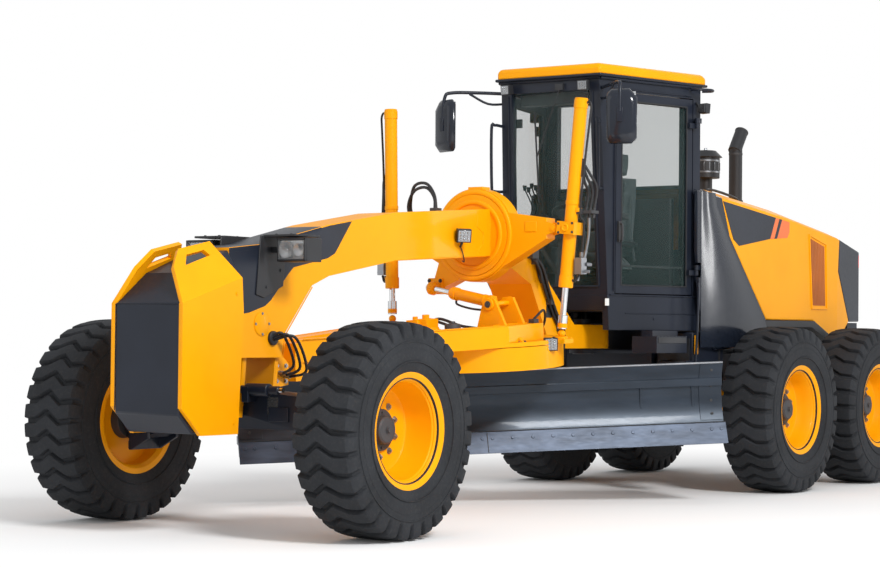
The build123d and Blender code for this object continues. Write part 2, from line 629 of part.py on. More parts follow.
SIDE_LEN = ((CAB_REAR[0] - CAB_FRONT[0]) ** 2 + (CAB_REAR[1] - CAB_FRONT[1]) ** 2) ** 0.5
side_dir = Vector(CAB_REAR[0] - CAB_FRONT[0], CAB_REAR[1] - CAB_FRONT[1], 0).normalized()
side_out = Vector(side_dir.Y, -side_dir.X, 0)
side_plane = Plane(origin=(CAB_FRONT[0], CAB_FRONT[1], 0), x_dir=side_dir, z_dir=side_out)
DOOR_FRONT = 190              # door edges along the side wall
DOOR_REAR = 1040
DOOR_LOW = CAB_SILL_Z + 15
DOOR_HIGH = CAB_HEAD_Z - 10
DOOR_GAP = 8
DOOR_THICK = 40
PANE = 6
HINGE_S = DOOR_REAR + 6        # door hinge axis, along and out from the side wall
HINGE_N = 45
HINGE_HEIGHTS = (1780, 2950)


def side_box(s0, s1, z0, z1, n0, n1):
    """A block given along the left side wall: length, height and depth outwards."""
    box = Box(s1 - s0, z1 - z0, n1 - n0, align=(Align.MIN, Align.MIN, Align.MIN))
    return side_plane * Pos(s0, z0, n0) * box


def both_sides(part):
    """A left piece and its mirror image."""
    return part + part.mirror(Plane.YZ)


def front_cut(half_low, half_high, z0, z1):
    """A window-shaped prism through the front wall."""
    with BuildPart() as cut:
        with BuildSketch(Plane.XZ.offset(500)):
            with BuildLine():
                Polyline((-half_low, z0), (half_low, z0), (half_high, z1), (-half_high, z1), close=True)
            make_face()
        extrude(amount=-1000)
    return cut.part


# ---- hood ---------------------------------------------------------------------------------------
# Y of the section, half width, bottom Z, crease Z, half width of the top, top Z
HOOD_SECTIONS = [
    (1060, 785, 1130, 2415, 625, 2488),
    (2650, 780, 1130, 2270, 620, 2340),
    (3800, 730, 1130, 2140, 590, 2200),
    (REAR_END_Y, 640, 1130, 2040, 520, 2085),
]


def hood_shape(inset):
    """The hood's outer shape, or the hollow inside it when inset is its wall's thickness."""
    with BuildPart() as shape:
        for y, half, low, crease, top_half, top in HOOD_SECTIONS:
            with BuildSketch(Plane.XZ.offset(-y)):
                with BuildLine():
                    Polyline(
                        (-half + inset, low), (-half + inset, crease - inset), (-top_half + inset, top - inset),
                        (top_half - inset, top - inset), (half - inset, crease - inset),
                        (half - inset, low), close=True,
                    )
                make_face()
        loft(ruled=True)
    return shape.part


HOOD_WALL = 30
hood_outer = hood_shape(0)
hood_inner = hood_shape(HOOD_WALL)


def hood_piece(outline, rear_wall):
    """The part of the hood's shell inside a side outline (Y, Z)."""
    with BuildPart() as cutter:
        with BuildSketch(Plane.YZ):
            with BuildLine():
                Polyline(*outline, close=True)
            make_face()
        extrude(amount=1000, both=True)
    shell = hood_outer - hood_inner
    if rear_wall:
        shell = shell + (hood_outer & Pos(0, REAR_END_Y - 20, 1600) * Box(2000, 40, 3000))
    return shell & cutter.part


FRONT_TOP = (1400, 2600)
FRONT_KNEE = (1640, 2070)
FRONT_FOOT = (2300, 1400)
REAR_TOP = (3900, 2400)
REAR_KNEE = (3830, 1850)
REAR_FOOT = (4150, 1400)
front_outline = [
    (1400, 1150), (1290, 1300), (1145, 1470), (1086, 1950), (1086, 2600), FRONT_TOP, FRONT_KNEE,
    FRONT_FOOT, (2080, 1400), (1860, 1180), (1560, 1150),
]
main_outline = [FRONT_TOP, REAR_TOP, REAR_KNEE, REAR_FOOT, (3780, 1180), (3250, 1400), FRONT_FOOT, FRONT_KNEE]
rear_outline = [REAR_TOP, (5000, 2400), (5000, 1400), REAR_FOOT, REAR_KNEE]
cab_room = Pos(0, 1000, 2000) * Box(2 * 748, 2 * 230, 3000)
hinge_pocket = side_box(HINGE_S - 100, HINGE_S + 60, HINGE_HEIGHTS[0] - 55, HINGE_HEIGHTS[0] + 60, -100, 200)
save(hood_piece(front_outline, False) - cab_room - both_sides(hinge_pocket), "hood_front")
save(hood_piece(main_outline, False), "hood")
save(hood_piece(rear_outline, True), "rear_grille")

# ---- side boxes, steps, exhaust and pre-cleaner --------------------------------------------------
with BuildPart() as side_boxes:
    for side in (-1, 1):
        with Locations((side * 575, 1360, 1075)):
            Box(340, 520, 430)
save(side_boxes.part, "side_boxes")

with BuildPart() as steps:
    for side in (-1, 1):
        with Locations((side * 640, 750, 1190)):                  # top step hangs under the cab's skirt
            Box(220, 480, 130)
        with Locations((side * 640, 750, 1277)):
            Box(100, 400, 46)
        for step_z in (560, 800, 1040):                           # ladder in front of the side box
            with Locations((side * 640, 1025, step_z)):
                Box(260, 150, 25)
        for post_x in (520, 760):
            with Locations((side * post_x, 1025, 805)):
                Box(20, 140, 520)
save(steps.part, "steps")

STACK = (200, 2850)
with BuildPart() as exhaust_stack:
    with Locations((STACK[0], STACK[1], 2600)):
        Cylinder(58, 620)
    with Locations(Plane(origin=(STACK[0], STACK[1] + 45, 2965), z_dir=(0, 110, 150))):
        Cylinder(57, 230)
save(exhaust_stack.part - hood_outer, "exhaust_stack")

with BuildPart() as air_precleaner:
    with Locations((-150, 2950, 2500)):
        Cylinder(60, 400)
    with Locations((-150, 2950, 2750)):
        Cylinder(125, 190)
    with Locations((-150, 2950, 2870)):
        Cone(150, 90, 60)
save(air_precleaner.part - hood_outer, "air_precleaner")

# ---- cab ----------------------------------------------------------------------------------------
upper_walls = cab_prism(CAB_SILL_Z, CAB_TOP_Z, 0) - cab_prism(CAB_SILL_Z - 1, CAB_TOP_Z + 1, CAB_WALL)
door_hole = side_box(
    DOOR_FRONT - DOOR_GAP, DOOR_REAR + DOOR_GAP, CAB_SILL_Z - 1, DOOR_HIGH + DOOR_GAP, -CAB_WALL - 30, 100
)
rear_hole = Pos(0, CAB_REAR[1], (1950 + CAB_HEAD_Z) / 2) * Box(1150, 300, CAB_HEAD_Z - 1950)
front_hole = front_cut(380, 360, 1640, CAB_HEAD_Z)
cab_frame = upper_walls - both_sides(door_hole) - rear_hole - front_hole
for hinge_z in HINGE_HEIGHTS:                                    # the frame's half of each door hinge
    knuckle = side_plane * Pos(HINGE_S, hinge_z + 22, HINGE_N) * Rot(90, 0, 0) * Cylinder(16, 40)
    strap = side_box(HINGE_S + 8, HINGE_S + 45, hinge_z + 2, hinge_z + 42, -10, HINGE_N + 8)
    cab_frame += both_sides(knuckle + strap)
save(cab_frame, "cab_frame")

lower_walls = cab_prism(CAB_SKIRT_Z, CAB_SILL_Z, 0) - cab_prism(CAB_SKIRT_Z - 1, CAB_SILL_Z + 1, CAB_WALL)
floor = cab_prism(CAB_SKIRT_Z + 140, CAB_SKIRT_Z + 180, CAB_WALL - 1)
front_gap = Pos(0, 150, CAB_SKIRT_Z + 60) * Box(850, 520, 180)
cab_base = lower_walls + floor - front_gap
save(cab_base, "cab_base")

with BuildPart() as cab_roof:
    with BuildSketch(Plane.XY.offset(CAB_TOP_Z)):
        with BuildLine():
            Polyline((-470, 90), (470, 90), (765, 1250), (-765, 1250), close=True)
        make_face()
    extrude(amount=ROOF_TOP_Z - CAB_TOP_Z)
    chamfer(cab_roof.edges().group_by(Axis.Z)[-1], 25)
save(cab_roof.part, "cab_roof")

door_pane_box = (DOOR_FRONT + 60, DOOR_REAR - 60, DOOR_LOW + 60, DOOR_HIGH - 60)
left_door = side_box(DOOR_FRONT, DOOR_REAR, DOOR_LOW, DOOR_HIGH, -DOOR_THICK, 0)
left_door -= side_box(*door_pane_box, -200, 100)
for hinge_z in HINGE_HEIGHTS:                                    # knuckle and strap on the door
    left_door += side_box(HINGE_S - 70, HINGE_S, hinge_z - 40, hinge_z, 0, HINGE_N - 10)
    left_door += side_plane * Pos(HINGE_S, hinge_z - 20, HINGE_N) * Rot(90, 0, 0) * Cylinder(16, 40)
left_glass = side_box(*door_pane_box, -DOOR_THICK / 2 - PANE / 2, -DOOR_THICK / 2 + PANE / 2)
save(left_door, "cab_door_left")
save(left_door.mirror(Plane.YZ), "cab_door_right")
save(left_glass, "door_glass_left")
save(left_glass.mirror(Plane.YZ), "door_glass_right")

front_sheet = cab_prism(CAB_SILL_Z, CAB_TOP_Z, 27) - cab_prism(CAB_SILL_Z - 1, CAB_TOP_Z + 1, 27 + PANE)
front_pane = front_sheet & front_hole
rear_pane = front_sheet & rear_hole
save(Compound(children=[front_pane, rear_pane]), "cab_glass")

# ---- inside the cab -----------------------------------------------------------------------------
SEAT_Y = 800
FLOOR_Z = CAB_SKIRT_Z + 180
with BuildPart() as seat:
    with Locations((0, SEAT_Y, FLOOR_Z + 150)):
        Box(320, 340, 300)
    with Locations((0, SEAT_Y, FLOOR_Z + 360)):
        Box(500, 500, 120)
    with Locations((0, SEAT_Y + 210, FLOOR_Z + 720)):
        Box(460, 120, 640)
save(seat.part, "seat")

with BuildPart() as steering_console:
    with BuildSketch(Plane.YZ):
        with BuildLine():
            Polyline((330, FLOOR_Z), (460, FLOOR_Z), (520, FLOOR_Z + 560), (430, FLOOR_Z + 600), close=True)
        make_face()
    extrude(amount=90, both=True)
    with Locations(Plane(origin=(0, 510, FLOOR_Z + 640), z_dir=(0, 0.5, 1))):
        Cylinder(20, 160)
        with Locations((0, 0, 75)):
            Torus(190, 16)
            Box(380, 30, 14)
save(steering_console.part, "steering_console")

MIRROR_X = 805
MIRROR_Y = -145
with BuildPart() as mirrors:
    for side in (-1, 1):
        with Locations((side * MIRROR_X, MIRROR_Y, 2900)):
            Box(190, 60, 420)
        arm_root = Vector(side * 420, 190, 3160)
        arm_tip = Vector(side * MIRROR_X, MIRROR_Y, 3160)
        with Locations(Plane(origin=(arm_root + arm_tip) / 2, z_dir=(arm_tip - arm_root).normalized())):
            Cylinder(15, (arm_tip - arm_root).length)
        with Locations((side * MIRROR_X, MIRROR_Y, 3140)):
            Cylinder(19, 90)
save(mirrors.part - cab_prism(CAB_SILL_Z, CAB_TOP_Z, 0), "mirrors")
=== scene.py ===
"""Motor grader: finish, tread, glazing, lamps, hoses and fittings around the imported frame.

Metres, +X machine left, the front faces -Y, +Z up.  Every piece is built where it sits at rest.
"""
import json
import math

import bmesh
import bpy
from mathutils import Matrix, Vector


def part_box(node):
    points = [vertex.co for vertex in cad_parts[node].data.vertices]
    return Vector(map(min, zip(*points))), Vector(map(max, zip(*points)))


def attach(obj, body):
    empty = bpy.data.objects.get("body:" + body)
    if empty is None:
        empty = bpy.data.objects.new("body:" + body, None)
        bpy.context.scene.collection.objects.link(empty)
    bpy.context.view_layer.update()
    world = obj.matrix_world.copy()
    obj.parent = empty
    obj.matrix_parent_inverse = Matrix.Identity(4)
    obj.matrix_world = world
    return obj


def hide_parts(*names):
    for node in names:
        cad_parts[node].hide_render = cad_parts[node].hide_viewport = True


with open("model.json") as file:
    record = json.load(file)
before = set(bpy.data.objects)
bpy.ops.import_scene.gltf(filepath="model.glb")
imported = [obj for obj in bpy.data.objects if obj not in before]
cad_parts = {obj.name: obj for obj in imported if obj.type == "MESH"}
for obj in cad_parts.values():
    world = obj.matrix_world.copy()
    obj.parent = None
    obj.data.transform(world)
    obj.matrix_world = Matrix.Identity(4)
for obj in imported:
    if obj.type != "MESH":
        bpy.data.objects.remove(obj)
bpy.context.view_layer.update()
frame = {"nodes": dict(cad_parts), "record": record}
NODES = frame["nodes"]
BODY_OF = {node: body for body, nodes in frame["record"]["behaviour"]["bodies"].items() for node in nodes}
SIDES = (("left", 1), ("right", -1))
BOTH = (1, -1)
FORE, AFT, UP, OUT = (0, -1, 0), (0, 1, 0), (0, 0, 1), (1, 0, 0)
FLAT = Matrix.Identity(3)
FLIP = Matrix.Diagonal((-1, 1, 1))


def turned(degrees, axis):
    """A rotation matrix about one axis."""
    return Matrix.Rotation(math.radians(degrees), 3, axis)


def on_line(line, at):
    """Value at a place on a broken line of (place, value) points."""
    for (x0, y0), (x1, y1) in zip(line, line[1:]):
        if at <= x1:
            return y0 + (y1 - y0) * (at - x0) / (x1 - x0)
    return line[-1][1]


# ---- materials
def add_node(tree, kind, inputs, **settings):
    """A new shader node with its settings and inputs."""
    node = tree.nodes.new(f"ShaderNode{kind}")
    for name, value in settings.items():
        setattr(node, name, value)
    fill_sockets(tree, node, inputs)
    return node


def fill_sockets(tree, node, inputs):
    """Sets a node's inputs to values, or links them to other nodes' outputs."""
    for socket, value in inputs.items():
        if isinstance(value, bpy.types.NodeSocket):
            tree.links.new(value, node.inputs[socket])
        else:
            node.inputs[socket].default_value = value


def material(name, colour, rough, slot=None, metal=0.0, coat=0.0, tint=0.08, grain=60.0, bump=0.05,
             depth=0.001, streak=1.0, dust=0.0, **sockets):
    """A surface whose colour, gloss and relief vary with 3-D noise; streak stretches the noise along Z."""
    made = bpy.data.materials.new(name)
    made.use_nodes = True
    tree = made.node_tree
    place = add_node(tree, "TexCoord", {})
    stretch = add_node(tree, "Mapping", {"Scale": (1, 1, 1 / streak), "Vector": place.outputs["Object"]})

    def noise(scale, detail):
        inputs = {"Scale": scale, "Detail": detail, "Vector": stretch.outputs["Vector"]}
        return add_node(tree, "TexNoise", inputs).outputs["Fac"]

    ramp = add_node(tree, "ValToRGB", {"Fac": noise(3.0, 5.0)})
    for element, spot, gain in zip(ramp.color_ramp.elements, (0.35, 0.65), (1 - tint, 1 + tint)):
        element.position = spot
        element.color = (*(min(1.0, c * gain) for c in colour), 1)
    surface = ramp.outputs["Color"]
    if dust:
        speck = add_node(tree, "MapRange", {
            "From Min": 0.5, "From Max": 0.75, "To Max": dust, "Value": noise(grain * 0.3, 8.0)})
        mix = add_node(tree, "Mix", {"B": (0.30, 0.27, 0.22, 1), "Factor": speck.outputs["Result"],
                                     "A": surface}, data_type="RGBA")
        surface = mix.outputs["Result"]
    gloss = add_node(tree, "MapRange", {
        "To Min": max(0.02, rough - 0.07), "To Max": min(1.0, rough + 0.07),
        "Value": noise(grain * 0.2, 4.0)})
    relief = add_node(tree, "Bump", {"Strength": bump, "Distance": depth, "Height": noise(grain, 6.0)})
    fill_sockets(tree, tree.nodes["Principled BSDF"], {
        "Metallic": metal, "Coat Weight": coat, "Coat Roughness": 0.08, "Base Color": surface,
        "Roughness": gloss.outputs["Result"], "Normal": relief.outputs["Normal"],
        **{socket.replace("_", " "): value for socket, value in sockets.items()}})
    return made


def glass_material(name, colour, alpha):
    """Tinted sheet glass: see-through by alpha, with a sharp reflection and faint dust in its gloss."""
    made = material(name, colour, 0.06, "tinted_glass", grain=8.0, bump=0.002, tint=0.02, depth=0.0005,
                    Alpha=alpha, IOR=1.5)
    made.blend_method = "BLEND"
    return made


# fresh paints share a fine, low relief
PAINT = {"coat": 0.05, "bump": 0.04, "Specular_IOR_Level": 0.13}
YELLOW = material("yellow_paint", (0.97, 0.385, 0.001), 0.40, tint=0.03, grain=240, **PAINT)
NAVY = material("navy_paint", (0.013, 0.017, 0.028), 0.36, tint=0.12, grain=220,
                **{**PAINT, "Specular_IOR_Level": 0.3})
GLOSS_NAVY = material("gloss_navy_paint", (0.012, 0.016, 0.026), 0.16, "navy_paint", coat=0.35, bump=0.015,
                      Specular_IOR_Level=0.3)
BLADE_STEEL = material("blade_paint", (0.016, 0.022, 0.032), 0.34, "navy_paint", coat=0.1, tint=0.25,
                       bump=0.08, streak=0.2, Specular_IOR_Level=0.45, Specular_Tint=(0.72, 0.84, 1.0, 1.0))
EDGE_STEEL = material("edge_steel", (0.045, 0.060, 0.090), 0.40, "bare_steel", metal=0.3, tint=0.3, grain=80,
                      bump=0.1, streak=0.2, Specular_IOR_Level=0.3)
RUBBER = material("tyre_rubber", (0.022, 0.024, 0.028), 0.78, tint=0.2, grain=180, bump=0.4, depth=0.0015,
                  dust=0.04, Specular_IOR_Level=0.25)
CHROME = material("chrome", (0.78, 0.79, 0.80), 0.10, metal=1.0, tint=0.02, grain=300, bump=0.01)
STEEL = material("bare_steel", (0.30, 0.31, 0.33), 0.36, metal=0.9, tint=0.2, grain=160, bump=0.12)
IRON = material("cast_iron", (0.055, 0.056, 0.060), 0.62, metal=0.3, tint=0.25, grain=120, bump=0.4)
PLASTIC = material("black_plastic", (0.018, 0.019, 0.022), 0.48, tint=0.15, grain=500, bump=0.2)
HOSE = material("hose_rubber", (0.014, 0.014, 0.016), 0.55, "black_plastic", tint=0.2, grain=700, bump=0.4)
FABRIC = material("seat_fabric", (0.060, 0.075, 0.080), 0.9, tint=0.2, grain=900, bump=0.6, Sheen_Weight=0.3)
LAMP = material("lamp_silver", (0.36, 0.37, 0.38), 0.18, "chrome", metal=0.85, tint=0.05, grain=160,
                bump=0.3, depth=0.002)
LAMP_GLASS = glass_material("lamp_glass", (0.55, 0.57, 0.58), 0.10)
RED = material("red_lens", (0.75, 0.03, 0.02), 0.2, "black_plastic", grain=90.0,
               Emission_Color=(0.75, 0.03, 0.02, 1), Emission_Strength=0.25)
GLASS = glass_material("tinted_glass", (0.045, 0.085, 0.080), 0.17)
LABEL = material("label_white", (0.75, 0.75, 0.72), 0.5, "yellow_paint", tint=0.04, grain=300)
ORANGE = material("orange_stripe", (0.90, 0.16, 0.012), 0.4, "yellow_paint", coat=0.3, tint=0.03, grain=240,
                  bump=0.03)
# inlet mesh and slats: the yellow paint darkened to brown, a painted shade standing for the shadow in the
# recessed air inlet
MESH = material("inlet_mesh_painted_shade", (0.42, 0.11, 0.008), 0.55, "yellow_paint", tint=0.15, grain=300, bump=0.3)


# ---- building kit
def set_piece(mesh_object, body, paint, bevel=0.0, angle=35, replaces=()):
    """Finish a mesh object: its paint, rounded edges, smooth shading and body."""
    mesh_object.data.materials.append(paint)
    for polygon in mesh_object.data.polygons:
        polygon.use_smooth = True
    if bevel:
        rounding = mesh_object.modifiers.new("rounding", "BEVEL")
        rounding.width = bevel
        rounding.segments = 2
        rounding.limit_method = "ANGLE"
        rounding.angle_limit = math.radians(angle)
        rounding.use_clamp_overlap = True
    mesh_object.data.set_sharp_from_angle(angle=math.radians(angle))
    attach(mesh_object, body)
    if replaces:
        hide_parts(*replaces)
    return mesh_object


def link_mesh(name, bm):
    """A scene object from a bmesh."""
    mesh = bpy.data.meshes.new(name)
    bmesh.ops.recalc_face_normals(bm, faces=bm.faces)
    bm.to_mesh(mesh)
    bm.free()
    made = bpy.data.objects.new(name, mesh)
    bpy.context.scene.collection.objects.link(made)
    return made


def skin(node, paint, bevel):
    """A CAD node's own shape with welded faces and rounded edges, standing for that node."""
    bm = bmesh.new()
    bm.from_mesh(NODES[node].data)
    bmesh.ops.remove_doubles(bm, verts=bm.verts, dist=2e-5)
    bmesh.ops.dissolve_limit(bm, angle_limit=math.radians(1.0), verts=bm.verts, edges=bm.edges)
    return set_piece(link_mesh(f"{node}_body", bm), BODY_OF[node], paint, bevel, 35, (node,))


def axes_of(axis):
    """A unit axis and two directions across it."""
    axis = Vector(axis).normalized()
    across = axis.orthogonal().normalized()
    return axis, across, axis.cross(across)


def circle(centre, across, up, radius, count, start=0.0):
    """Evenly spaced points on a circle."""
    angles = [start + 2 * math.pi * k / count for k in range(count)]
    return [centre + across * (radius * math.cos(a)) + up * (radius * math.sin(a)) for a in angles]


def circle_spots(centre, axis, radius, count, start=0.0):
    """Evenly spaced points on a circle about an axis."""
    return circle(Vector(centre), *axes_of(axis)[1:], radius, count, start)


def quads(rows, n, wrap_rows, wrap_points):
    """Faces between rows of n points each, joined up at the ends where they wrap."""
    return [
        (k * n + i, k * n + (i + 1) % n, (k + 1) % rows * n + (i + 1) % n, (k + 1) % rows * n + i)
        for k in range(rows if wrap_rows else rows - 1) for i in range(n if wrap_points else n - 1)
    ]


def lofted(rings):
    """Points and faces of a skin between rings of equal point counts, with end caps."""
    n = len(rings[0])
    ends = [tuple(range(n))[::-1], tuple((len(rings) - 1) * n + i for i in range(n))]
    return [p for ring in rings for p in ring], quads(len(rings), n, False, True) + ends


def round_bar(start, end, radius, end_radius=None, sides=20):
    """Points and faces of a round bar or cone between two points."""
    axis, across, up = axes_of(Vector(end) - Vector(start))
    ends = ((Vector(start), radius), (Vector(end), radius if end_radius is None else end_radius))
    return lofted([circle(base, across, up, r, sides) for base, r in ends])


def curve_points(route, smooth):
    """Points on a Catmull-Rom curve through the route."""
    if smooth <= 1:
        return route
    ends = [route[0] * 2 - route[1]] + route + [route[-1] * 2 - route[-2]]
    points = []
    for i in range(1, len(ends) - 2):
        a, b, c, d = ends[i - 1:i + 3]
        for k in range(smooth):
            t = k / smooth
            points.append(0.5 * (
                2 * b + (c - a) * t + (2 * a - 5 * b + 4 * c - d) * t * t + (3 * b - a - 3 * c + d) * t ** 3
            ))
    return points + [route[-1]]


def flipped(value, side):
    """A place, direction, turn or list of them, taken to the machine's right side when side is -1."""
    if isinstance(value, list):
        return [flipped(v, side) for v in value]
    if isinstance(value, Matrix):
        return value if side > 0 else FLIP @ value @ FLIP
    return Vector((side * value[0], value[1], value[2]))


class Kit:
    """Gathers simple solids into one mesh, each made on the listed sides and placed by a matrix.

    Places are given for the machine's left side, 1; on its right side, -1, their X is negated.
    """

    def __init__(self, sides=(1,), place=None):
        self.bm = bmesh.new()
        self.sides = sides
        self.place = place or Matrix.Identity(4)

    def on(self, *sides):
        """Goes on building on these sides."""
        self.sides = sides
        return self

    def on_sides(self, *values):
        return [[flipped(value, side) for value in values] for side in self.sides]

    def add(self, points, faces):
        """A solid at places that are already on their own side."""
        made = [self.bm.verts.new(self.place @ Vector(p)) for p in points]
        for face in faces:
            self.bm.faces.new([made[i] for i in face])
        return self

    def shape(self, points, faces):
        """A solid given for the left side, added on each side."""
        for placed, in self.on_sides(list(points)):
            self.add(placed, faces)
        return self

    def box(self, centre, size, turn=FLAT):
        """A block about centre; turn is a rotation matrix about that centre."""
        half = [s / 2 for s in size]
        corners = [Vector((i * half[0], j * half[1], k * half[2])) for i in (-1, 1) for j in (-1,
                                                            1) for k in (-1, 1)]
        faces = [(0, 1, 3, 2), (4, 6, 7, 5), (0, 4, 5, 1), (2, 3, 7, 6), (0, 2, 6, 4), (1, 5, 7, 3)]
        return self.shape([turn @ c + Vector(centre) for c in corners], faces)

    def boxes(self, *rows):
        """Several blocks, each a (centre, size) row."""
        for centre, size in rows:
            self.box(centre, size)
        return self

    def prism(self, outline, axis, low, high):
        """An outline extruded along an axis: (y, z) for x, (x, z) for y, (x, y) for z."""
        rings = [
            [{"x": (w, u, v), "y": (u, w, v), "z": (u, v, w)}[axis] for u, v in outline] for w in (low, high)
        ]
        return self.loft(rings)

    def loft(self, rings):
        """Skin between rings of equal point counts, with end caps."""
        return self.shape(*lofted(rings))

    def bar(self, start, end, radius, end_radius=None, sides=20):
        """A round bar or cone between two points."""
        for a, b in self.on_sides(start, end):
            self.add(*round_bar(a, b, radius, end_radius, sides))
        return self

    def lathe(self, profile, centre, axis, turns=40):
        """A closed (along, radius) profile turned about an axis through centre."""
        angles = [2 * math.pi * k / turns for k in range(turns)]
        points = [Vector((x, r * math.cos(a), r * math.sin(a))) for a in angles for x, r in profile]
        for middle, way in self.on_sides(centre, axis):
            turn = Vector(OUT).rotation_difference(way).to_matrix()
            self.add([middle + turn @ p for p in points], quads(turns, len(profile), True, True))
        return self

    def tube(self, route, radius, sides=10, smooth=6):
        """A round tube through a route's points, on a smooth curve when smooth is above 1."""
        for points, in self.on_sides(list(route)):
            points = curve_points(points, smooth)
            across = (points[1] - points[0]).orthogonal().normalized()
            rings = []
            for i, p in enumerate(points):
                ahead = (points[min(i + 1, len(points) - 1)] - points[max(i - 1, 0)]).normalized()
                across = (across - ahead * across.dot(ahead)).normalized()
                rings.append(circle(p, across, ahead.cross(across), radius, sides))
            self.add(*lofted(rings))
        return self

    def tubes(self, radius, sides, smooth, *routes):
        """Several tubes of one kind."""
        for route in routes:
            self.tube(route, radius, sides, smooth)
        return self

    def loop(self, points, radius, sides=8):
        """Straight tubes round a closed outline."""
        return self.tubes(radius, sides, 1, *zip(points, points[1:] + points[:1]))

    def bolts(self, centres, axis, radius, height):
        """Hexagon bolt heads on round washers."""
        for spots, way in self.on_sides(list(centres), axis):
            self.add_bolts(spots, way.normalized(), radius, height)
        return self

    def bolt_circle(self, centre, axis, ring, count, radius, height, start=0.0):
        """Bolt heads evenly spaced on a circle."""
        for middle, way in self.on_sides(centre, axis):
            self.add_bolts(circle_spots(middle, way, ring, count, start), way.normalized(), radius, height)
        return self

    def add_bolts(self, spots, way, radius, height):
        """A washer and a hexagon head at each spot."""
        for spot in spots:
            self.add(*round_bar(spot, spot + way * height * 0.3, radius * 1.35, sides=16))
            self.add(*round_bar(spot, spot + way * height, radius, radius * 0.94, 6))

    def piece(self, name, body, paint, bevel=0.0, angle=35, replaces=()):
        return set_piece(link_mesh(name, self.bm), body, paint, bevel, angle, replaces)


# ---- stage
LEAST_WHITE = 0.5     # share of plain white in the sky that lights the machine and shines in its gloss


def make_sky(scene):
    """A soft sky, half white for light and gloss, plain white where the camera or glass sees it."""
    scene.world = bpy.data.worlds.new("studio")
    scene.world.use_nodes = True
    tree = scene.world.node_tree
    sky = tree.nodes["Background"]
    fill_sockets(tree, sky, {"Color": (0.93, 0.96, 1.0, 1), "Strength": 0.32})
    seen = add_node(tree, "Background", {"Color": (1, 1, 1, 1)})
    path = add_node(tree, "LightPath", {})
    most = add_node(tree, "Math", {0: path.outputs["Is Camera Ray"], 1: path.outputs["Is Transmission Ray"]},
                    operation="MAXIMUM")
    share = add_node(tree, "Math", {0: most.outputs[0], 1: LEAST_WHITE}, operation="MAXIMUM")
    blend = add_node(tree, "MixShader", {"Fac": share.outputs[0], 1: sky.outputs[0], 2: seen.outputs[0]})
    tree.links.new(blend.outputs[0], tree.nodes["World Output"].inputs["Surface"])


def make_floor():
    """A pale floor that keeps the machine's shadow and fades to white away from it."""
    floor = link_mesh("floor", Kit().box((0, 0, -0.06), (160, 160, 0.1)).bm)
    paint = bpy.data.materials.new("floor")
    paint.use_nodes = True
    tree = paint.node_tree
    shader = tree.nodes["Principled BSDF"]
    fill_sockets(tree, shader, {"Base Color": (0.93, 0.93, 0.93, 1), "Roughness": 0.9,
                                "Specular IOR Level": 0.0})
    white = add_node(tree, "Emission", {"Color": (1, 1, 1, 1)})
    place = add_node(tree, "TexCoord", {})
    squeeze = add_node(tree, "Mapping", {"Scale": (1.45, 1.0, 0.0), "Vector": place.outputs["Object"]})
    reach = add_node(tree, "VectorMath", {0: squeeze.outputs["Vector"]}, operation="LENGTH")
    fade = add_node(tree, "MapRange", {"From Min": 3.5, "From Max": 9.0, "Value": reach.outputs["Value"]},
                    interpolation_type="SMOOTHSTEP")
    ray = add_node(tree, "LightPath", {})
    only = add_node(tree, "Math", {0: fade.outputs["Result"], 1: ray.outputs["Is Camera Ray"]},
                    operation="MULTIPLY")
    soften = add_node(tree, "MixShader", {"Fac": only.outputs[0], 1: shader.outputs[0], 2: white.outputs[0]})
    tree.links.new(soften.outputs[0], tree.nodes["Material Output"].inputs["Surface"])
    floor.data.materials.append(paint)
    floor.location.z = 0.01


LAMPS = [  # name, place, aimed at, width and height, watts
    ("key", (12, -7, 10), (0, -1, 1), (3.0, 3.0), 1750),
    ("fill", (-9, -12, 6), (0, -2, 1), (9.0, 9.0), 130),
    ("rear", (-4, 13, 9), (0, 1, 1.5), (8.0, 8.0), 180),
    ("strip", (9.1, 11.3, 2.8), (0.8, 1.4, 1.9), (0.8, 4.0), 110),
]


def make_stage():
    """White sky, floor, and a soft key, fill, rim and strip lamp."""
    scene = bpy.context.scene
    scene.view_settings.view_transform = "Standard"
    make_sky(scene)
    make_floor()
    for name, place, aim, size, watts in LAMPS:
        lamp = bpy.data.lights.new(name, "AREA")
        lamp.shape = "RECTANGLE"
        lamp.size, lamp.size_y = size
        lamp.energy = watts
        holder = bpy.data.objects.new(name, lamp)
        scene.collection.objects.link(holder)
        holder.location = place
        holder.rotation_euler = (Vector(aim) - Vector(place)).to_track_quat("-Z", "Y").to_euler()


def make_camera():
    """The camera stands low, ahead of the machine's left front corner."""
    azimuth, pitch, roll = (math.radians(a) for a in (35.15, 1.22, 0.542))
    level = Vector((-math.sin(azimuth), math.cos(azimuth), 0))
    right = Vector((math.cos(azimuth), math.sin(azimuth), 0))
    ahead = level * math.cos(pitch) + Vector((0, 0, math.sin(pitch)))
    up = right.cross(ahead)
    across = right * math.cos(roll) + up * math.sin(roll)
    above = up * math.cos(roll) - right * math.sin(roll)
    camera = bpy.data.cameras.new("camera")
    camera.lens = 90.08
    camera.sensor_width = 36
    camera.clip_end = 400
    holder = bpy.data.objects.new("camera", camera)
    bpy.context.scene.collection.objects.link(holder)
    turn = Matrix((across, above, -ahead)).transposed()
    holder.matrix_world = Matrix.Translation((9.161, -14.347, 1.281)) @ turn.to_4x4()
    bpy.context.scene.camera = holder


make_stage()
make_camera()

# ---- wheels
LUGS = 32
TREAD_WAVE = [(-1.0, -0.12), (-0.50, 0.02), (-0.05, -0.52), (0.42, -0.06), (1.0, 0.0)]
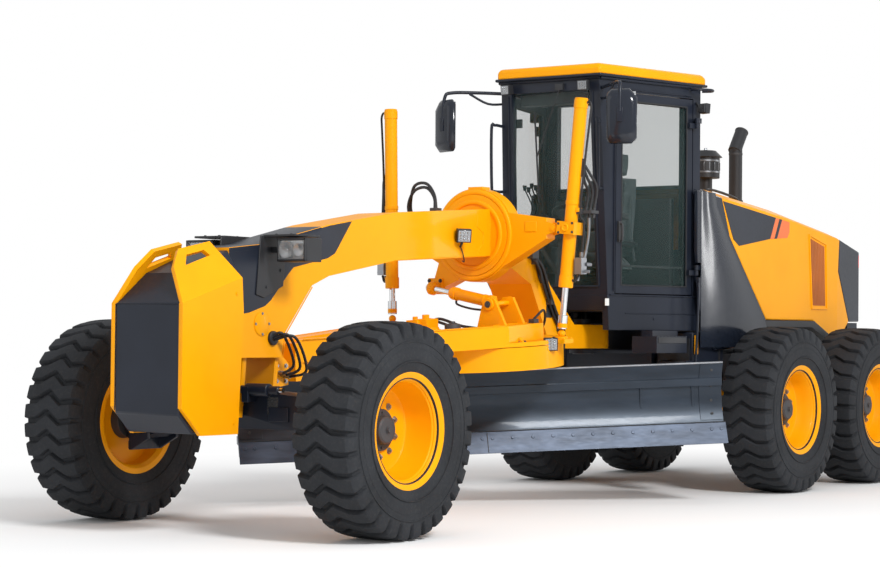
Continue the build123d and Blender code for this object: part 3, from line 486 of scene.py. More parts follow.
# across (fraction of half the section), radius, depth of the cuts between the lugs there
TYRE_SECTION = [
    (0.80, 0.330, 0), (0.855, 0.352, 0), (0.885, 0.368, 0), (0.93, 0.392, 0), (0.955, 0.412, 0),
    (0.965, 0.418, 0), (0.985, 0.450, 0), (0.995, 0.490, 0), (0.99, 0.530, 0), (0.968, 0.560, 0),
    (0.972, 0.563, 0.002), (0.968, 0.585, 0.016), (0.955, 0.612, 0.024), (0.935, 0.640, 0.030),
    (0.88, 0.656, 0.031), (0.70, 0.663, 0.031), (0.50, 0.667, 0.031), (0.25, 0.669, 0.031),
    (0.0, 0.6695, 0.031),
]
# angle within one lug's pitch, share of the cut's depth there
LUG_STEPS = [
    (0.0, 1.0), (0.10, 1.0), (0.15, 0.25), (0.19, 0.0), (0.50, 0.0), (0.81, 0.0), (0.85, 0.25), (0.90, 1.0),
]


def tyre(place, side, centre, half_width):
    """Carcass and zigzag lugs in one surface."""
    section = TYRE_SECTION + [(-x, r, cut) for x, r, cut in TYRE_SECTION[-2::-1]]
    dense = []
    for first, second in zip(section, section[1:]):
        steps = 3 if abs(second[0] - first[0]) > 0.15 else 1
        dense += [[a + (b - a) * k / steps for a, b in zip(first, second)] for k in range(steps)]
    dense.append(section[-1])
    points = []
    for lug in range(LUGS):
        for step, share in LUG_STEPS:
            for x, r, cut in dense:
                shift = on_line(TREAD_WAVE, x if cut > 0.02 else math.copysign(1, x))
                a = 2 * math.pi * (lug + step + shift) / LUGS
                inward = 1 if abs(x) > 0.93 else 0.15
                depth = cut * share
                across = x * half_width - math.copysign(depth * 0.75 * inward, x)
                radius = r - depth * (1 - 0.45 * inward)
                points.append((side * across, radius * math.cos(a), radius * math.sin(a)))
    kit = Kit(place=Matrix.Translation(centre))
    kit.add(points, quads(LUGS * len(LUG_STEPS), len(dense), True, False))
    # beads and raised rings moulded round each sidewall
    for flank in (-1, 1):
        edge = flank * half_width
        kit.lathe([(edge * 0.80, 0.330), (edge * 0.80, 0.318), (edge * 0.70, 0.318), (edge * 0.70, 0.345)],
                  (0, 0, 0), OUT, 64)
        for radius, proud in ((0.425, 0.004), (0.505, 0.003), (0.545, 0.003)):
            foot = edge * 0.985 - flank * 0.004
            crest = foot + flank * (proud + 0.004)
            kit.lathe([(foot, radius - 0.005), (crest, radius - 0.003), (crest, radius + 0.003),
                       (foot, radius + 0.005)], (0, 0, 0), OUT, 96)
    kit.piece(f"{place}_tread", f"wheel_{place}", RUBBER, 0.0, 40, (f"tyre_{place}",))


RIM_PROFILE = [  # across from the wheel's middle towards its outer side, radius
    (0.195, 0.360), (0.188, 0.363), (0.180, 0.360), (0.172, 0.322), (0.150, 0.316),
    (-0.150, 0.316), (-0.172, 0.322), (-0.180, 0.360), (-0.190, 0.362), (-0.195, 0.356),
    (-0.192, 0.322), (-0.165, 0.300), (-0.070, 0.300), (-0.066, 0.262), (-0.066, 0.118),
    (-0.045, 0.118), (-0.045, 0.240), (-0.034, 0.264), (0.020, 0.288), (0.140, 0.298),
    (0.150, 0.306), (0.158, 0.306), (0.164, 0.318), (0.176, 0.322), (0.186, 0.338),
]
TANDEM_DISH = 0.055      # how much further out the disc of a tandem wheel sits
NUT_RING = (0.168, 10)   # radius of the wheel nuts' circle, and how many there are


def rim(place, side, centre):
    """Deep dish, a recessed dark hub, and its ring of wheel nuts."""
    body = f"wheel_{place}"
    out = Vector((side, 0, 0))
    dish = 0.0 if place.startswith("front") else TANDEM_DISH
    profile = [(across + dish if -0.071 < across < 0.03 else across, r) for across, r in RIM_PROFILE]
    Kit().lathe(profile, centre, out, 72).piece(f"{place}_rim", body, YELLOW, 0.0025, 30, (f"rim_{place}",))
    middle = Vector(centre) + out * dish
    hub = Kit()
    hub.lathe([(-0.125, 0.062), (-0.125, 0.117), (-0.040, 0.130), (-0.026, 0.130), (-0.022, 0.122),
               (-0.022, 0.062)], middle, out, 48)
    hub.lathe([(-0.024, 0.0), (-0.024, 0.092), (0.016, 0.086), (0.026, 0.074), (0.028, 0.0)], middle, out)
    hub.bolt_circle(middle - out * 0.022, out, 0.110, 8, 0.007, 0.010)
    hub.bolts([middle + out * 0.028], out, 0.018, 0.012)
    hub.piece(f"{place}_hub_cap", body, IRON, 0.0015)
    face = middle - out * 0.046
    studs = Kit().bolt_circle(face, out, *NUT_RING, 0.0165, 0.016, 0.2)
    for spot in circle_spots(face, out, *NUT_RING, 0.2):
        studs.bar(spot, spot + out * 0.022, 0.0085, sides=10)
    studs.piece(f"{place}_wheel_nuts", body, STEEL, 0.0, 30)


for wheel in ("front_left", "front_right", "middle_left", "middle_right", "rear_left", "rear_right"):
    tyre_low, tyre_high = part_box(f"tyre_{wheel}")
    wheel_side = 1 if wheel.endswith("left") else -1
    tyre(wheel, wheel_side, (tyre_low + tyre_high) / 2, (tyre_high.x - tyre_low.x) / 2)
    rim(wheel, wheel_side, (tyre_low + tyre_high) / 2)

# ---- the frame's own pieces, with rounded edges
SKINS = {  # paint and rounding: nodes
    (YELLOW, 0.016): "cab_roof",
    (YELLOW, 0.012): "tandem_cases hood",
    (YELLOW, 0.010): "front_frame",
    (YELLOW, 0.008): "saddle push_block_cheeks",
    (YELLOW, 0.006): "drawbar circle blade_support lift_yoke_left lift_yoke_right",
    (YELLOW, 0.004): "lift_cylinder_left lift_cylinder_right centre_shift_cylinder",
    (CHROME, 0.002): "lift_rod_left lift_rod_right centre_shift_rod",
    (NAVY, 0.014): "rear_grille",
    (NAVY, 0.012): "front_axle side_boxes",
    (NAVY, 0.010): "push_block rear_frame rear_axle",
    (NAVY, 0.008): "lean_yoke_left lean_yoke_right cab_frame cab_base",
    (NAVY, 0.006): "spindle_left spindle_right cab_door_left cab_door_right",
    (NAVY, 0.004): "steps",
    (GLOSS_NAVY, 0.014): "hood_front",
    (BLADE_STEEL, 0.003): "moldboard",
    (EDGE_STEEL, 0.002): "cutting_edge",
    (STEEL, 0.002): "drawbar_ball",
    (IRON, 0.02): "engine_block",
    (PLASTIC, 0.006): "steering_console",
    (PLASTIC, 0.004): "air_precleaner headlights",
    (PLASTIC, 0.003): "exhaust_stack",
}
for finish, nodes in SKINS.items():
    for node in nodes.split():
        skin(node, *finish)
for node in ("cab_glass", "door_glass_left", "door_glass_right"):
    NODES[node].data.materials.clear()
    NODES[node].data.materials.append(GLASS)

# ---- front: push block, gooseneck, headlights, saddle
FRONT = "front_frame"
BEAM_TOP = [(-3.86, 1.790), (-3.54, 1.824), (-2.84, 1.980), (-2.11, 2.095), (-0.925, 2.180)]    # y, height


def make_gooseneck():
    """Dark paint over the gooseneck's head, covers, the axle's hoses, weld seams and bolts."""
    Kit(BOTH).prism([
        (-3.859, 1.36), (-3.66, 1.385), (-3.50, 1.43), (-3.44, 1.47), (-3.27, 1.64), (-3.215, 1.685),
        (-2.86, 1.755), (-2.78, 1.79), (-2.60, 2.012), (-2.84, 1.972), (-3.54, 1.817), (-3.859, 1.783),
    ], "x", 0.158, 0.1616).piece("beam_panel", FRONT, NAVY)
    rings = []
    for y in (-3.859, -3.54, -3.2, -2.93):
        z = on_line(BEAM_TOP, y)
        arch = [(0.1622, -0.03), (0.1622, -0.008), (0.1588, -0.0005), (0.150, 0.0020)]
        outer = [(x, y, z + dz) for x, dz in arch]
        inner = [(x * 0.97, y, z + dz - 0.004) for x, dz in arch]
        rings.append(outer + flipped(outer[::-1], -1) + flipped(inner, -1) + inner[::-1])
    Kit().loft(rings).piece("beam_cap", FRONT, NAVY)
    Kit(BOTH).lathe([(0, 0), (0, 0.078), (0.004, 0.078), (0.006, 0.074), (0.006, 0)], (0.160, -3.53, 1.315),
                    OUT).piece("beam_covers", FRONT, YELLOW, 0.001)
    Kit(BOTH).bolt_circle((0.166, -3.53, 1.315), OUT, 0.066, 4, 0.007, 0.006, 0.8).piece(
        "beam_cover_bolts", FRONT, STEEL)
    Kit(BOTH).lathe([(0, 0.02), (0, 0.046), (0.016, 0.046), (0.020, 0.040), (0.020, 0.02)],
                    (0.160, -3.425, 1.225), OUT, 32).piece("hose_ports", FRONT, PLASTIC, 0.002)
    hoses, ends = Kit(BOTH), Kit(BOTH)
    for k, (reach, sag) in enumerate(((0.060, 0.02), (0.085, 0.05), (0.11, 0.08))):
        start = Vector((0.165, -3.425 + 0.012 * (k - 1), 1.235 - 0.010 * k))
        finish = Vector((0.095, -3.285 + 0.035 * k, 1.00 - 0.012 * k))
        knee = (0.165 + reach, start.y + 0.04 + 0.02 * k, start.z + 0.015)
        low = (0.150 + reach, finish.y + 0.02, finish.z + 0.07 - sag * 0.3)
        hoses.tube([start, knee, low, finish + Vector((0.05, 0, 0)), finish], 0.0095, 10, 7)
        ends.bar(finish + Vector((0.045, 0, 0)), finish - Vector((0.012, 0, 0)), 0.0135, sides=6)
    hoses.piece("axle_hoses", FRONT, HOSE)
    ends.piece("axle_hose_ends", FRONT, STEEL)
    seams = Kit(BOTH)
    for radius, route in (
        (0.0035, [(-1.10, 2.150), (-1.10, 2.04), (-1.02, 2.00), (-1.02, 1.92),
                  (-1.08, 1.87), (-1.08, 1.845)]),
        (0.004, [(-3.32, 1.10), (-3.29, 1.25), (-3.02, 1.560)]),
        (0.003, [(-2.11, 1.765), (-1.6, 1.80), (-0.93, 1.838)]),
    ):
        seams.tube([(0.1605, y, z) for y, z in route], radius, 6, 1)
    seams.piece("beam_welds", FRONT, YELLOW)
    Kit().box((0.1925, -0.16, 1.45), (0.002, 0.085, 0.12)).piece("leg_label", FRONT, PLASTIC)
    Kit(BOTH).bolts([(0.09, y, z) for y in (-3.29, -3.20) for z in (0.945, 1.045)], OUT, 0.011, 0.012).piece(
        "socket_bolts", FRONT, STEEL)


def make_headlights():
    """Bezels, twin reflectors, lenses and brackets of the headlights."""
    x, y, z = 0.385, -3.505, 1.785
    Kit(BOTH).boxes(
        *(((x, y - 0.008, z + dz), (0.226, 0.022, 0.014)) for dz in (-0.066, 0.066)),
        *(((x + dx, y - 0.008, z), (0.012, 0.022, 0.146)) for dx in (-0.107, 0.107)),
    ).piece("headlight_bezels", FRONT, PLASTIC, 0.003)
    silver = Kit(BOTH).box((x, y - 0.001, z), (0.202, 0.002, 0.118))
    for dx, r in ((-0.045, 0.050), (0.058, 0.036)):
        spot = Vector((x + dx, y - 0.004, z))
        silver.lathe([(0.0, r), (0.0, r + 0.006), (0.012, r + 0.006), (0.012, r + 0.002), (0.003, r * 0.4),
                      (0.003, 0.0), (0.0, 0.0)], spot, FORE, 32)
        silver.bar(spot, spot + Vector((0, -0.008, 0)), r * 0.28, r * 0.18)
    silver.piece("headlight_reflectors", FRONT, LAMP, 0.001)
    lens = Kit(BOTH).box((x, y - 0.0175, z), (0.204, 0.004, 0.120))
    lens.piece("headlight_lenses", FRONT, LAMP_GLASS, 0.001)
    brackets = Kit(BOTH).box((0.21, -3.42, 1.79), (0.13, 0.05, 0.035))
    brackets.bolts([(dx, dy, 1.884) for dx in (0.24, 0.36) for dy in (-3.49, -3.31)], UP, 0.009, 0.006)
    brackets.bolts([(0.170, -3.36, 1.66), (0.170, -3.5, 1.55), (0.170, -3.37, 1.84)], OUT, 0.009, 0.006)
    brackets.piece("headlight_brackets", FRONT, PLASTIC, 0.002)


def work_light(name, body, centre, face, foot, size=0.105):
    """A square LED work light with a finned back, looking along face, on a stalk to foot."""
    centre = Vector(centre)
    turn = Vector(face).normalized().to_track_quat("Y", "Z").to_matrix()

    def at(x, y, z):
        return centre + turn @ Vector((x, y, z))

    case = Kit().box(centre, (size, 0.045, size * 0.92), turn)
    for k in range(6):
        case.box(at((k - 2.5) * size * 0.16, -0.030, 0), (0.006, 0.024, size * 0.8), turn)
    case.tube([at(0, -0.02, -size * 0.4), foot], 0.009, 10, 1)
    case.piece(f"{name}_case", body, PLASTIC, 0.006)
    glow = Kit().box(at(0, 0.024, 0), (size * 0.84, 0.004, size * 0.76), turn)
    for i in (-1, 0, 1):
        for k in (-1, 0, 1):
            x, z = i * size * 0.25, k * size * 0.22
            glow.bar(at(x, 0.026, z), at(x, 0.031, z), size * 0.095, size * 0.06, 12)
    glow.piece(f"{name}_lens", body, LAMP, 0.0008)


def make_saddle():
    """Rings, ribs and bolts of the saddle, the shift cylinder's socket, and the frame's hoses and lamp."""
    ring = Kit()
    ring.lathe([(0.0, 0.300), (0.0, 0.338), (0.016, 0.336), (0.020, 0.328), (0.020, 0.312), (0.016, 0.302)],
               (0, -0.905, 1.990), FORE, 72)
    ring.lathe([(0.0, 0.225), (0.0, 0.262), (0.010, 0.260), (0.014, 0.252), (0.014, 0.236), (0.010, 0.227)],
               (0, -0.923, 1.990), FORE, 72)
    ring.box((0.0, -0.845, 2.338), (0.13, 0.10, 0.022))
    # stiffening ribs under the arms, and the pads welded on their faces
    ring.on(*BOTH).boxes(((0.50, -0.908, 2.045), (0.10, 0.006, 0.075)),
                         ((0.42, -0.780, 2.00), (0.16, 0.014, 0.10)))
    ring.piece("saddle_rings", FRONT, YELLOW, 0.003)
    bolts = Kit().bolt_circle((0, -0.785, 1.990), AFT, 0.322, 14, 0.012, 0.014, 0.22)
    bolts.bolts([(x, y, 2.03) for x in (0.69, -0.69) for y in (-0.905, -0.785)], FORE, 0.020, 0.010)
    bolts.bolts([(-0.02, -0.915, 1.965)], FORE, 0.009, 0.008)
    bolts.piece("saddle_bolts", FRONT, YELLOW)
    # housing of the centre shift cylinder's ball, with its bolted cap
    Kit().box((-0.34, -0.895, 1.615), (0.13, 0.05, 0.12)).piece("shift_socket", FRONT, YELLOW, 0.006)
    Kit().bolts([(x, -0.92, z) for x in (-0.39, -0.29) for z in (1.575, 1.655)], FORE, 0.011, 0.012).piece(
        "shift_socket_bolts", FRONT, IRON)
    # pressure hoses that loop over the gooseneck, and the bundle down the leg to the cab
    hoses = Kit()
    for k in range(2):
        hoses.tube([(-0.58, -0.86 - 0.03 * k, 2.095), (-0.585, -0.90 - 0.03 * k, 2.22),
                    (-0.48, -1.00, 2.36 - 0.035 * k), (-0.30, -1.10, 2.37 - 0.03 * k),
                    (-0.17, -1.18, 2.28 - 0.02 * k), (-0.12, -1.22 - 0.02 * k, 2.155)], 0.0115, 10, 8)
    for k in range(3):
        x = 0.196 + 0.022 * (k % 2)
        hoses.tube([(x, -0.47 + 0.03 * k, 1.86), (x + 0.03, -0.37 + 0.02 * k, 1.77),
                    (x + 0.02, -0.26 + 0.02 * k, 1.60), (x + 0.012, -0.14 + 0.02 * k, 1.43),
                    (x + 0.010, -0.03 + 0.02 * k, 1.30), (0.186, 0.06, 1.21 - 0.03 * k)], 0.0115, 10, 8)
    hoses.tube([(0.20, -0.42, 1.86), (0.26, -0.40, 1.74), (0.245, -0.36, 1.655), (0.205, -0.33, 1.70),
                (0.20, -0.36, 1.80)], 0.0095, 10, 8)
    hoses.tube([(-0.20, -0.50, 1.86), (-0.24, -0.35, 1.66), (-0.215, -0.14, 1.42), (-0.186, 0.03, 1.25)],
               0.0115, 10, 8)
    hoses.piece("frame_hoses", FRONT, HOSE)
    Kit().boxes(
        *(((0.212, y, z), (0.055, 0.03, 0.045)) for y, z in ((-0.40, 1.81), (-0.19, 1.51), (-0.04, 1.31))),
        ((0.215, -0.43, 1.865), (0.05, 0.09, 0.07)), ((-0.205, -0.50, 1.865), (0.03, 0.07, 0.06)),
        ((-0.59, -0.875, 2.085), (0.06, 0.09, 0.03)), ((-0.12, -1.23, 2.163), (0.06, 0.07, 0.03)),
    ).piece("hose_clips", FRONT, IRON, 0.003)
    work_light("beam_light", FRONT, (0.220, -1.36, 1.965), (0.75, -0.66, -0.2), (0.170, -1.33, 1.885))
    wire = [(0.172, -1.33, 1.89), (0.176, -1.30, 1.83), (0.150, -1.25, 1.785), (0.10, -1.20, 1.79)]
    Kit().tube(wire, 0.0045, 8).piece("beam_light_wire", FRONT, HOSE)


make_gooseneck()
make_headlights()
make_saddle()


# ---- lift and shift cylinders
def make_lift(name, side, down, reach):
    """Collars, gland, side pipe, valve block and rod eye of one blade lift cylinder."""
    trunnion = Vector((side * 0.8, -0.845, 2.03))
    down = Vector(down)
    body, yoke = f"lift_cylinder_{name}", f"lift_yoke_{name}"
    aside = (Vector((side, 0, 0)) - down * down.x * side).normalized()
    aft = down.cross(aside) * (-side)

    def at(along, out=0.0, back=0.0):
        return trunnion + down * along + aside * out + aft * back

    def finish(kit, part, *look):
        kit.piece(f"lift_{name}_{part}", body, *look)

    rings = Kit()
    for low, high, r in (
        (-0.940, -0.925, 0.046), (-0.925, -0.865, 0.0515), (-0.20, -0.17, 0.0515), (0.345, 0.428, 0.053),
    ):
        rings.bar(at(low), at(high), r, sides=40)
    finish(rings.box(at(-0.135, 0.055), (0.03, 0.05, 0.03)), "collars", YELLOW, 0.0025)
    finish(Kit().tubes(
        0.0085, 10, 5,
        [at(-0.905, 0.045), at(-0.915, 0.070), at(-0.88, 0.088), at(-0.80, 0.086), at(-0.5, 0.074),
         at(-0.12, 0.070), at(-0.05, 0.095, 0.02), at(0.12, 0.095, 0.03), at(0.20, 0.098, 0.02)],
        [at(0.37, 0.045), at(0.375, 0.075), at(0.33, 0.098, 0.01)],
    ), "pipe", HOSE)
    valve = Kit().box(at(0.265, 0.098, 0.02), (0.06, 0.075, 0.12))
    for start, end, *shape in (
        ((0.20, 0.098, 0.02), (0.165, 0.098, 0.02), 0.015, None, 6),
        ((0.30, 0.125, 0.03), (0.30, 0.165, 0.045), 0.013, None, 6),
        ((0.25, 0.125, 0.05), (0.25, 0.15, 0.085), 0.016, 0.012, 12),
        ((0.33, 0.085, 0.02), (0.375, 0.085, 0.02), 0.012, None, 6),
        ((0.21, 0.10, 0.06), (0.15, 0.10, 0.075), 0.012, None, 12),
    ):
        valve.bar(at(*start), at(*end), *shape)
    valve.tube([at(0.15, 0.10, 0.075), at(0.08, 0.102, 0.085), at(0.0, 0.105, 0.082),
                at(-0.10, 0.100, 0.075)], 0.010, 10, 5)
    finish(valve, "valve", STEEL, 0.0025)
    plate = Kit().boxes((at(-0.125, 0.105, 0.05), (0.12, 0.10, 0.022)),
                        (at(-0.125, 0.060), (0.05, 0.03, 0.04)))
    loops = Kit()
    for k in (-1, 0, 1):
        spot = at(-0.125, 0.105 + 0.034 * k, 0.075)
        plate.bar(spot - down * 0.035, spot + down * 0.04, 0.012, sides=6)
        loops.tube([spot - down * 0.03, spot - down * (0.16 + 0.02 * k) + aft * 0.01,
                    at(-0.37 - 0.03 * k, 0.080 + 0.02 * k, 0.04), at(-0.44 - 0.03 * k, 0.050, 0.025)],
                    0.0105, 10, 7)
    finish(plate, "bulkhead", IRON, 0.002)
    finish(loops, "hoses", HOSE)
    finish(Kit().box(at(-0.44, 0.045, 0.02), (0.035, 0.04, 0.13)), "hose_block", IRON, 0.003)
    end = reach - 0.034
    eye = Kit().bar(at(end - 0.062), at(end - 0.040), 0.027, 0.035, 28)
    eye.bar(at(end - 0.040), at(end - 0.008), 0.035, sides=28)
    eye.piece(f"lift_{name}_eye", f"lift_rod_{name}", YELLOW, 0.002)
    boss = Kit((side,))
    for y, way in ((-0.925, -1), (-0.765, 1)):
        boss.lathe([(0, 0.0), (0, 0.030), (0.010, 0.028), (0.012, 0.020), (0.007, 0.014), (0.007, 0.0)],
                   (0.8, y - way * 0.006, 2.03), (0, way, 0), 32)
    boss.piece(f"lift_{name}_pin_caps", yoke, YELLOW, 0.0015)
    spots = [(0.8 + dx, -0.918, 2.03 + dz) for dx in (-0.058, 0.058) for dz in (-0.032, 0.032)]
    Kit((side,)).bolts(spots, FORE, 0.0075, 0.008).piece(f"lift_{name}_yoke_bolts", yoke, IRON)


make_lift("left", 1, (-0.091810, 0.003613, -0.995770), 0.76245)
make_lift("right", -1, (0.025772, -0.005079, -0.999655), 0.65963)


def make_shift():
    """Collars, pipe and rod cap of the cylinder that swings the drawbar."""
    base = Vector((-0.340, -0.965, 1.600))
    pin = Vector((0.395, -1.175689, 1.480815))
    along = (pin - base).normalized()
    reach = (pin - base).length
    body = "centre_shift_cylinder"

    def at(before_pin, down=0.0):
        return base + along * (reach - before_pin) - Vector((0, 0, down))

    barrel = Kit()
    for low, high, r in (
        (0.522, 0.505, 0.040), (0.505, 0.455, 0.048), (0.15, 0.12, 0.046), (0.09, 0.055, 0.050),
    ):
        barrel.bar(at(low), at(high), r, sides=36)
    barrel.piece("shift_collars", body, YELLOW, 0.0025)
    pipe = [at(0.475, 0.045), at(0.46, 0.075), at(0.30, 0.082), at(0.14, 0.066), at(0.11, 0.044)]
    Kit().tube(pipe, 0.008, 10, 5).piece("shift_pipe", body, HOSE)
    Kit().lathe([(-0.01, 0.0), (-0.01, 0.050), (0.02, 0.050), (0.045, 0.034), (0.045, 0.0)],
                base + along * 0.012, along, 32).piece("shift_rod_cap", "centre_shift_rod", YELLOW, 0.002)


make_shift()

# ---- drawbar, circle and blade
BALL = Matrix.Translation((0, -3.14, 1.0))
CIRCLE_AXIS = Matrix.Translation((0, -1.0, 0))
PITCH = BALL @ turned(3.5, "X").to_4x4() @ BALL.inverted()
HUNG = PITCH @ CIRCLE_AXIS @ turned(45, "Z").to_4x4() @ CIRCLE_AXIS.inverted()


def make_drawbar():
    """Circle drive, valve, tower bosses, seams and lamp; in the drawbar's level frame."""
    body = "drawbar"

    def level(sides=(1,)):
        return Kit(sides, PITCH)

    drive = level().lathe([(0, 0), (0, 0.15), (0.025, 0.15), (0.030, 0.115), (0.095, 0.110), (0.11, 0.085),
                           (0.12, 0.085), (0.12, 0)], (0.06, -1.56, 1.09), UP)
    drive.boxes(((0.05, -1.56, 1.235), (0.12, 0.14, 0.07)), ((-0.05, -1.55, 1.235), (0.10, 0.09, 0.05)))
    drive.bar((0.02, -1.66, 1.24), (0.02, -1.46, 1.24), 0.032, sides=24)
    drive.bar((0.05, -1.56, 1.26), (0.05, -1.56, 1.30), 0.026)
    drive.bar((-0.05, -1.55, 1.26), (-0.05, -1.55, 1.285), 0.020, sides=6)
    drive.piece("circle_drive", body, YELLOW, 0.004)
    bolts = level().bolt_circle((0.06, -1.56, 1.115), UP, 0.132, 10, 0.010, 0.012)
    bolts.bar((-0.12, -1.55, 1.235), (-0.10, -1.55, 1.235), 0.014, sides=6)
    bolts.piece("circle_drive_bolts", body, STEEL)
    level().lathe([(0, 0), (0, 0.058), (0.130, 0.058), (0.141, 0.052), (0.147, 0.02), (0.160, 0.018),
                   (0.160, 0)], (0.24, -1.50, 1.09), UP, 36).piece("greaser_cap", body, IRON, 0.002)
    towers = level().box((0.25, -1.13, 1.10), (0.03, 0.24, 0.06))
    for y, way in ((-1.265, -1), (-0.995, 1)):
        towers.lathe([(0, 0), (0, 0.045), (0.014, 0.043), (0.014, 0)], (0.395, y, 1.36), (0, way, 0), 32)
    towers.prism([(0.52, 1.09), (0.66, 1.09), (0.53, 1.20)], "y", -1.235, -1.19)
    towers.piece("tower_bosses", body, YELLOW, 0.003)
    pins = level().bolts([(0.395, -1.28, 1.36)], FORE, 0.018, 0.010)
    pins.bolts([(0.53, -1.265, 1.12), (0.30, -1.265, 1.12)], FORE, 0.010, 0.008)
    for angle in (20, 70, 110, 160, -20, -70, -110, -160):     # guide shoes that carry the circle
        a = math.radians(angle)
        spot = Vector((0.665 * math.cos(a), -1.0 + 0.665 * math.sin(a), 1.09))
        pins.bolts([spot, spot + Vector((0.03, 0.02, 0))], UP, 0.010, 0.012)
    pins.piece("drawbar_bolts", body, IRON)
    seams = level(BOTH).tubes(
        0.004, 6, 1, [(0.13, -3.06, 1.212), (0.615, -1.37, 1.212)],
        [(0.48, -0.90, 1.212), (0.48, -1.34, 1.212)], [(0.621, -1.35, 1.094), (0.621, -0.92, 1.094)])
    seams.on(1).box((0, -2.22, 1.135), (0.44, 0.10, 0.11)).piece("drawbar_welds", body, YELLOW, 0.003)
    hoses = level().tubes(
        0.0105, 10, 7,
        [(0.02, -1.47, 1.24), (0.05, -1.38, 1.26), (0.11, -1.20, 1.20), (0.22, -1.02, 1.16),
         (0.28, -0.99, 1.11)],
        [(-0.05, -1.51, 1.24), (-0.04, -1.36, 1.25), (0.06, -1.10, 1.16), (0.20, -0.94, 1.11)])
    hoses.tube([(0.56, -0.93, 1.24), (0.60, -0.86, 1.30), (0.55, -0.78, 1.20), (0.48, -0.80, 1.10)], 0.009,
               10, 7)
    hoses.piece("drawbar_hoses", body, HOSE)
    level().boxes(
        ((0.25, -1.0, 1.105), (0.09, 0.05, 0.03)), ((0.19, -0.93, 1.103), (0.06, 0.05, 0.026)),
        ((0.48, -0.80, 1.103), (0.05, 0.05, 0.026)), ((0.56, -0.935, 1.225), (0.05, 0.06, 0.03)),
    ).piece("drawbar_hose_clamps", body, IRON, 0.002)
    caps = level()
    for x, z in ((0.730, 1.13), (-0.783, 1.23)):
        caps.lathe([(0, 0.022), (0, 0.046), (0.016, 0.046), (0.022, 0.036), (0.022, 0.022)],
                   (x, -0.83, z - 0.042), UP, 28)
        caps.bolts([(x + dx, -0.83 + dy, z - 0.04) for dx in (-0.047, 0.047) for dy in (-0.047, 0.047)], UP,
                   0.009, 0.010)
    caps.piece("ball_caps", body, YELLOW, 0.002)
    work_light("drawbar_light", body, PITCH @ Vector((0.715, -0.96, 1.060)), (0.75, -0.8, -0.05),
               PITCH @ Vector((0.69, -0.905, 1.075)), 0.10)


def front_face(z):
    """Y of the moldboard's curved front face at a height, on the circle through three of its points."""
    a, b, c = Vector((0.005, 0.300)), Vector((0.118, 0.570)), Vector((0.060, 0.845))
    d = 2 * (a.x * (b.y - c.y) + b.x * (c.y - a.y) + c.x * (a.y - b.y))
    sq = [p.length_squared for p in (a, b, c)]
    cx = (sq[0] * (b.y - c.y) + sq[1] * (c.y - a.y) + sq[2] * (a.y - b.y)) / d
    cz = (sq[0] * (c.x - b.x) + sq[1] * (a.x - c.x) + sq[2] * (b.x - a.x)) / d
    r = math.hypot(a.x - cx, a.y - cz)
    return -1.0 + cx + math.sqrt(max(0.0, r * r - (z - cz) ** 2))


def make_blade():
    """Edge bolts, end plates, top lip and the joint line, in the blade's frame before it is turned."""
    body = BODY_OF["moldboard"]
    middle, half = 0.15, 1.828

    def hung():
        return Kit(place=HUNG)

    bolts, plates, holes = hung(), hung(), hung()
    normal = Vector((0, -0.924, 0.382))
    heights = [0.415 + 0.42 * k / 10 for k in range(11)]
    outline = [(front_face(z) - 0.005, z) for z in heights]
    outline += [(front_face(z) + 0.003, z) for z in heights[::-1]]
    for way in (-1, 1):
        for reach in [0.0381 + 0.1524 * n for n in range(12)] + [1.7907]:
            spot = Vector((middle + way * reach, -0.996, 0.3535))
            bolts.bar(spot - normal * 0.004, spot + normal * 0.005, 0.0150, 0.0125, 16)
        plates.prism(outline, "x", *sorted((middle + way * 1.652, middle + way * 1.829)))
        for z in (0.46, 0.56, 0.67, 0.79):
            spot = Vector((middle + way * 1.745, front_face(z) - 0.006, z))
            holes.bar(spot, spot + Vector((0, -0.004, 0)), 0.012, 0.010, 14)
    bolts.piece("edge_bolts", body, EDGE_STEEL, 0.001)
    lines = hung().box((middle, -1.009, 0.322), (0.004, 0.010, 0.150), turned(-22.4, "X"))
    lines.tube([(middle - half, -0.979, 0.403), (middle + half, -0.979, 0.403)], 0.0035, 6, 1)
    lines.piece("edge_joint", body, PLASTIC)
    hung().tube([(middle - half, -0.932, 0.846), (middle + half, -0.932, 0.846)], 0.008, 10, 1).piece(
        "moldboard_lip", body, STEEL)
    plates.piece("moldboard_end_plates", body, BLADE_STEEL, 0.0015)
    holes.piece("end_plate_bolts", body, IRON)
    hung().boxes(*(((x, -0.850, 0.55), (0.016, 0.08, 0.28)) for x in (-1.45, -1.05, 1.35, 1.75))).piece(
        "moldboard_ribs", body, BLADE_STEEL, 0.003)


def make_circle():
    """Gear teeth inside the ring, pin caps on the blade arms, and the tube across them."""
    body = BODY_OF["circle"]
    teeth = Kit(place=PITCH)
    count = 90
    for k in range(count):
        a = 2 * math.pi * k / count
        section = [(r * math.cos(a + da), -1.0 + r * math.sin(a + da))
                   for r, da in ((0.562, -0.020), (0.540, -0.010), (0.540, 0.010), (0.562, 0.020))]
        teeth.prism(section, "z", 0.93, 1.02)
    teeth.piece("circle_teeth", body, IRON)
    caps = Kit(BOTH, HUNG)
    for way in (-1, 1):
        caps.lathe([(0, 0), (0, 0.038), (0.012, 0.036), (0.012, 0)], (0.56 + way * 0.062, -0.67, 0.43),
                   (way, 0, 0), 28)
    caps.piece("tip_pin_caps", body, YELLOW, 0.002)
    Kit(place=HUNG).bar((-0.40, -0.85, 0.93), (0.40, -0.85, 0.93), 0.028, sides=24).piece(
        "circle_cross_tube", body, YELLOW, 0.002)


make_drawbar()
make_blade()
make_circle()


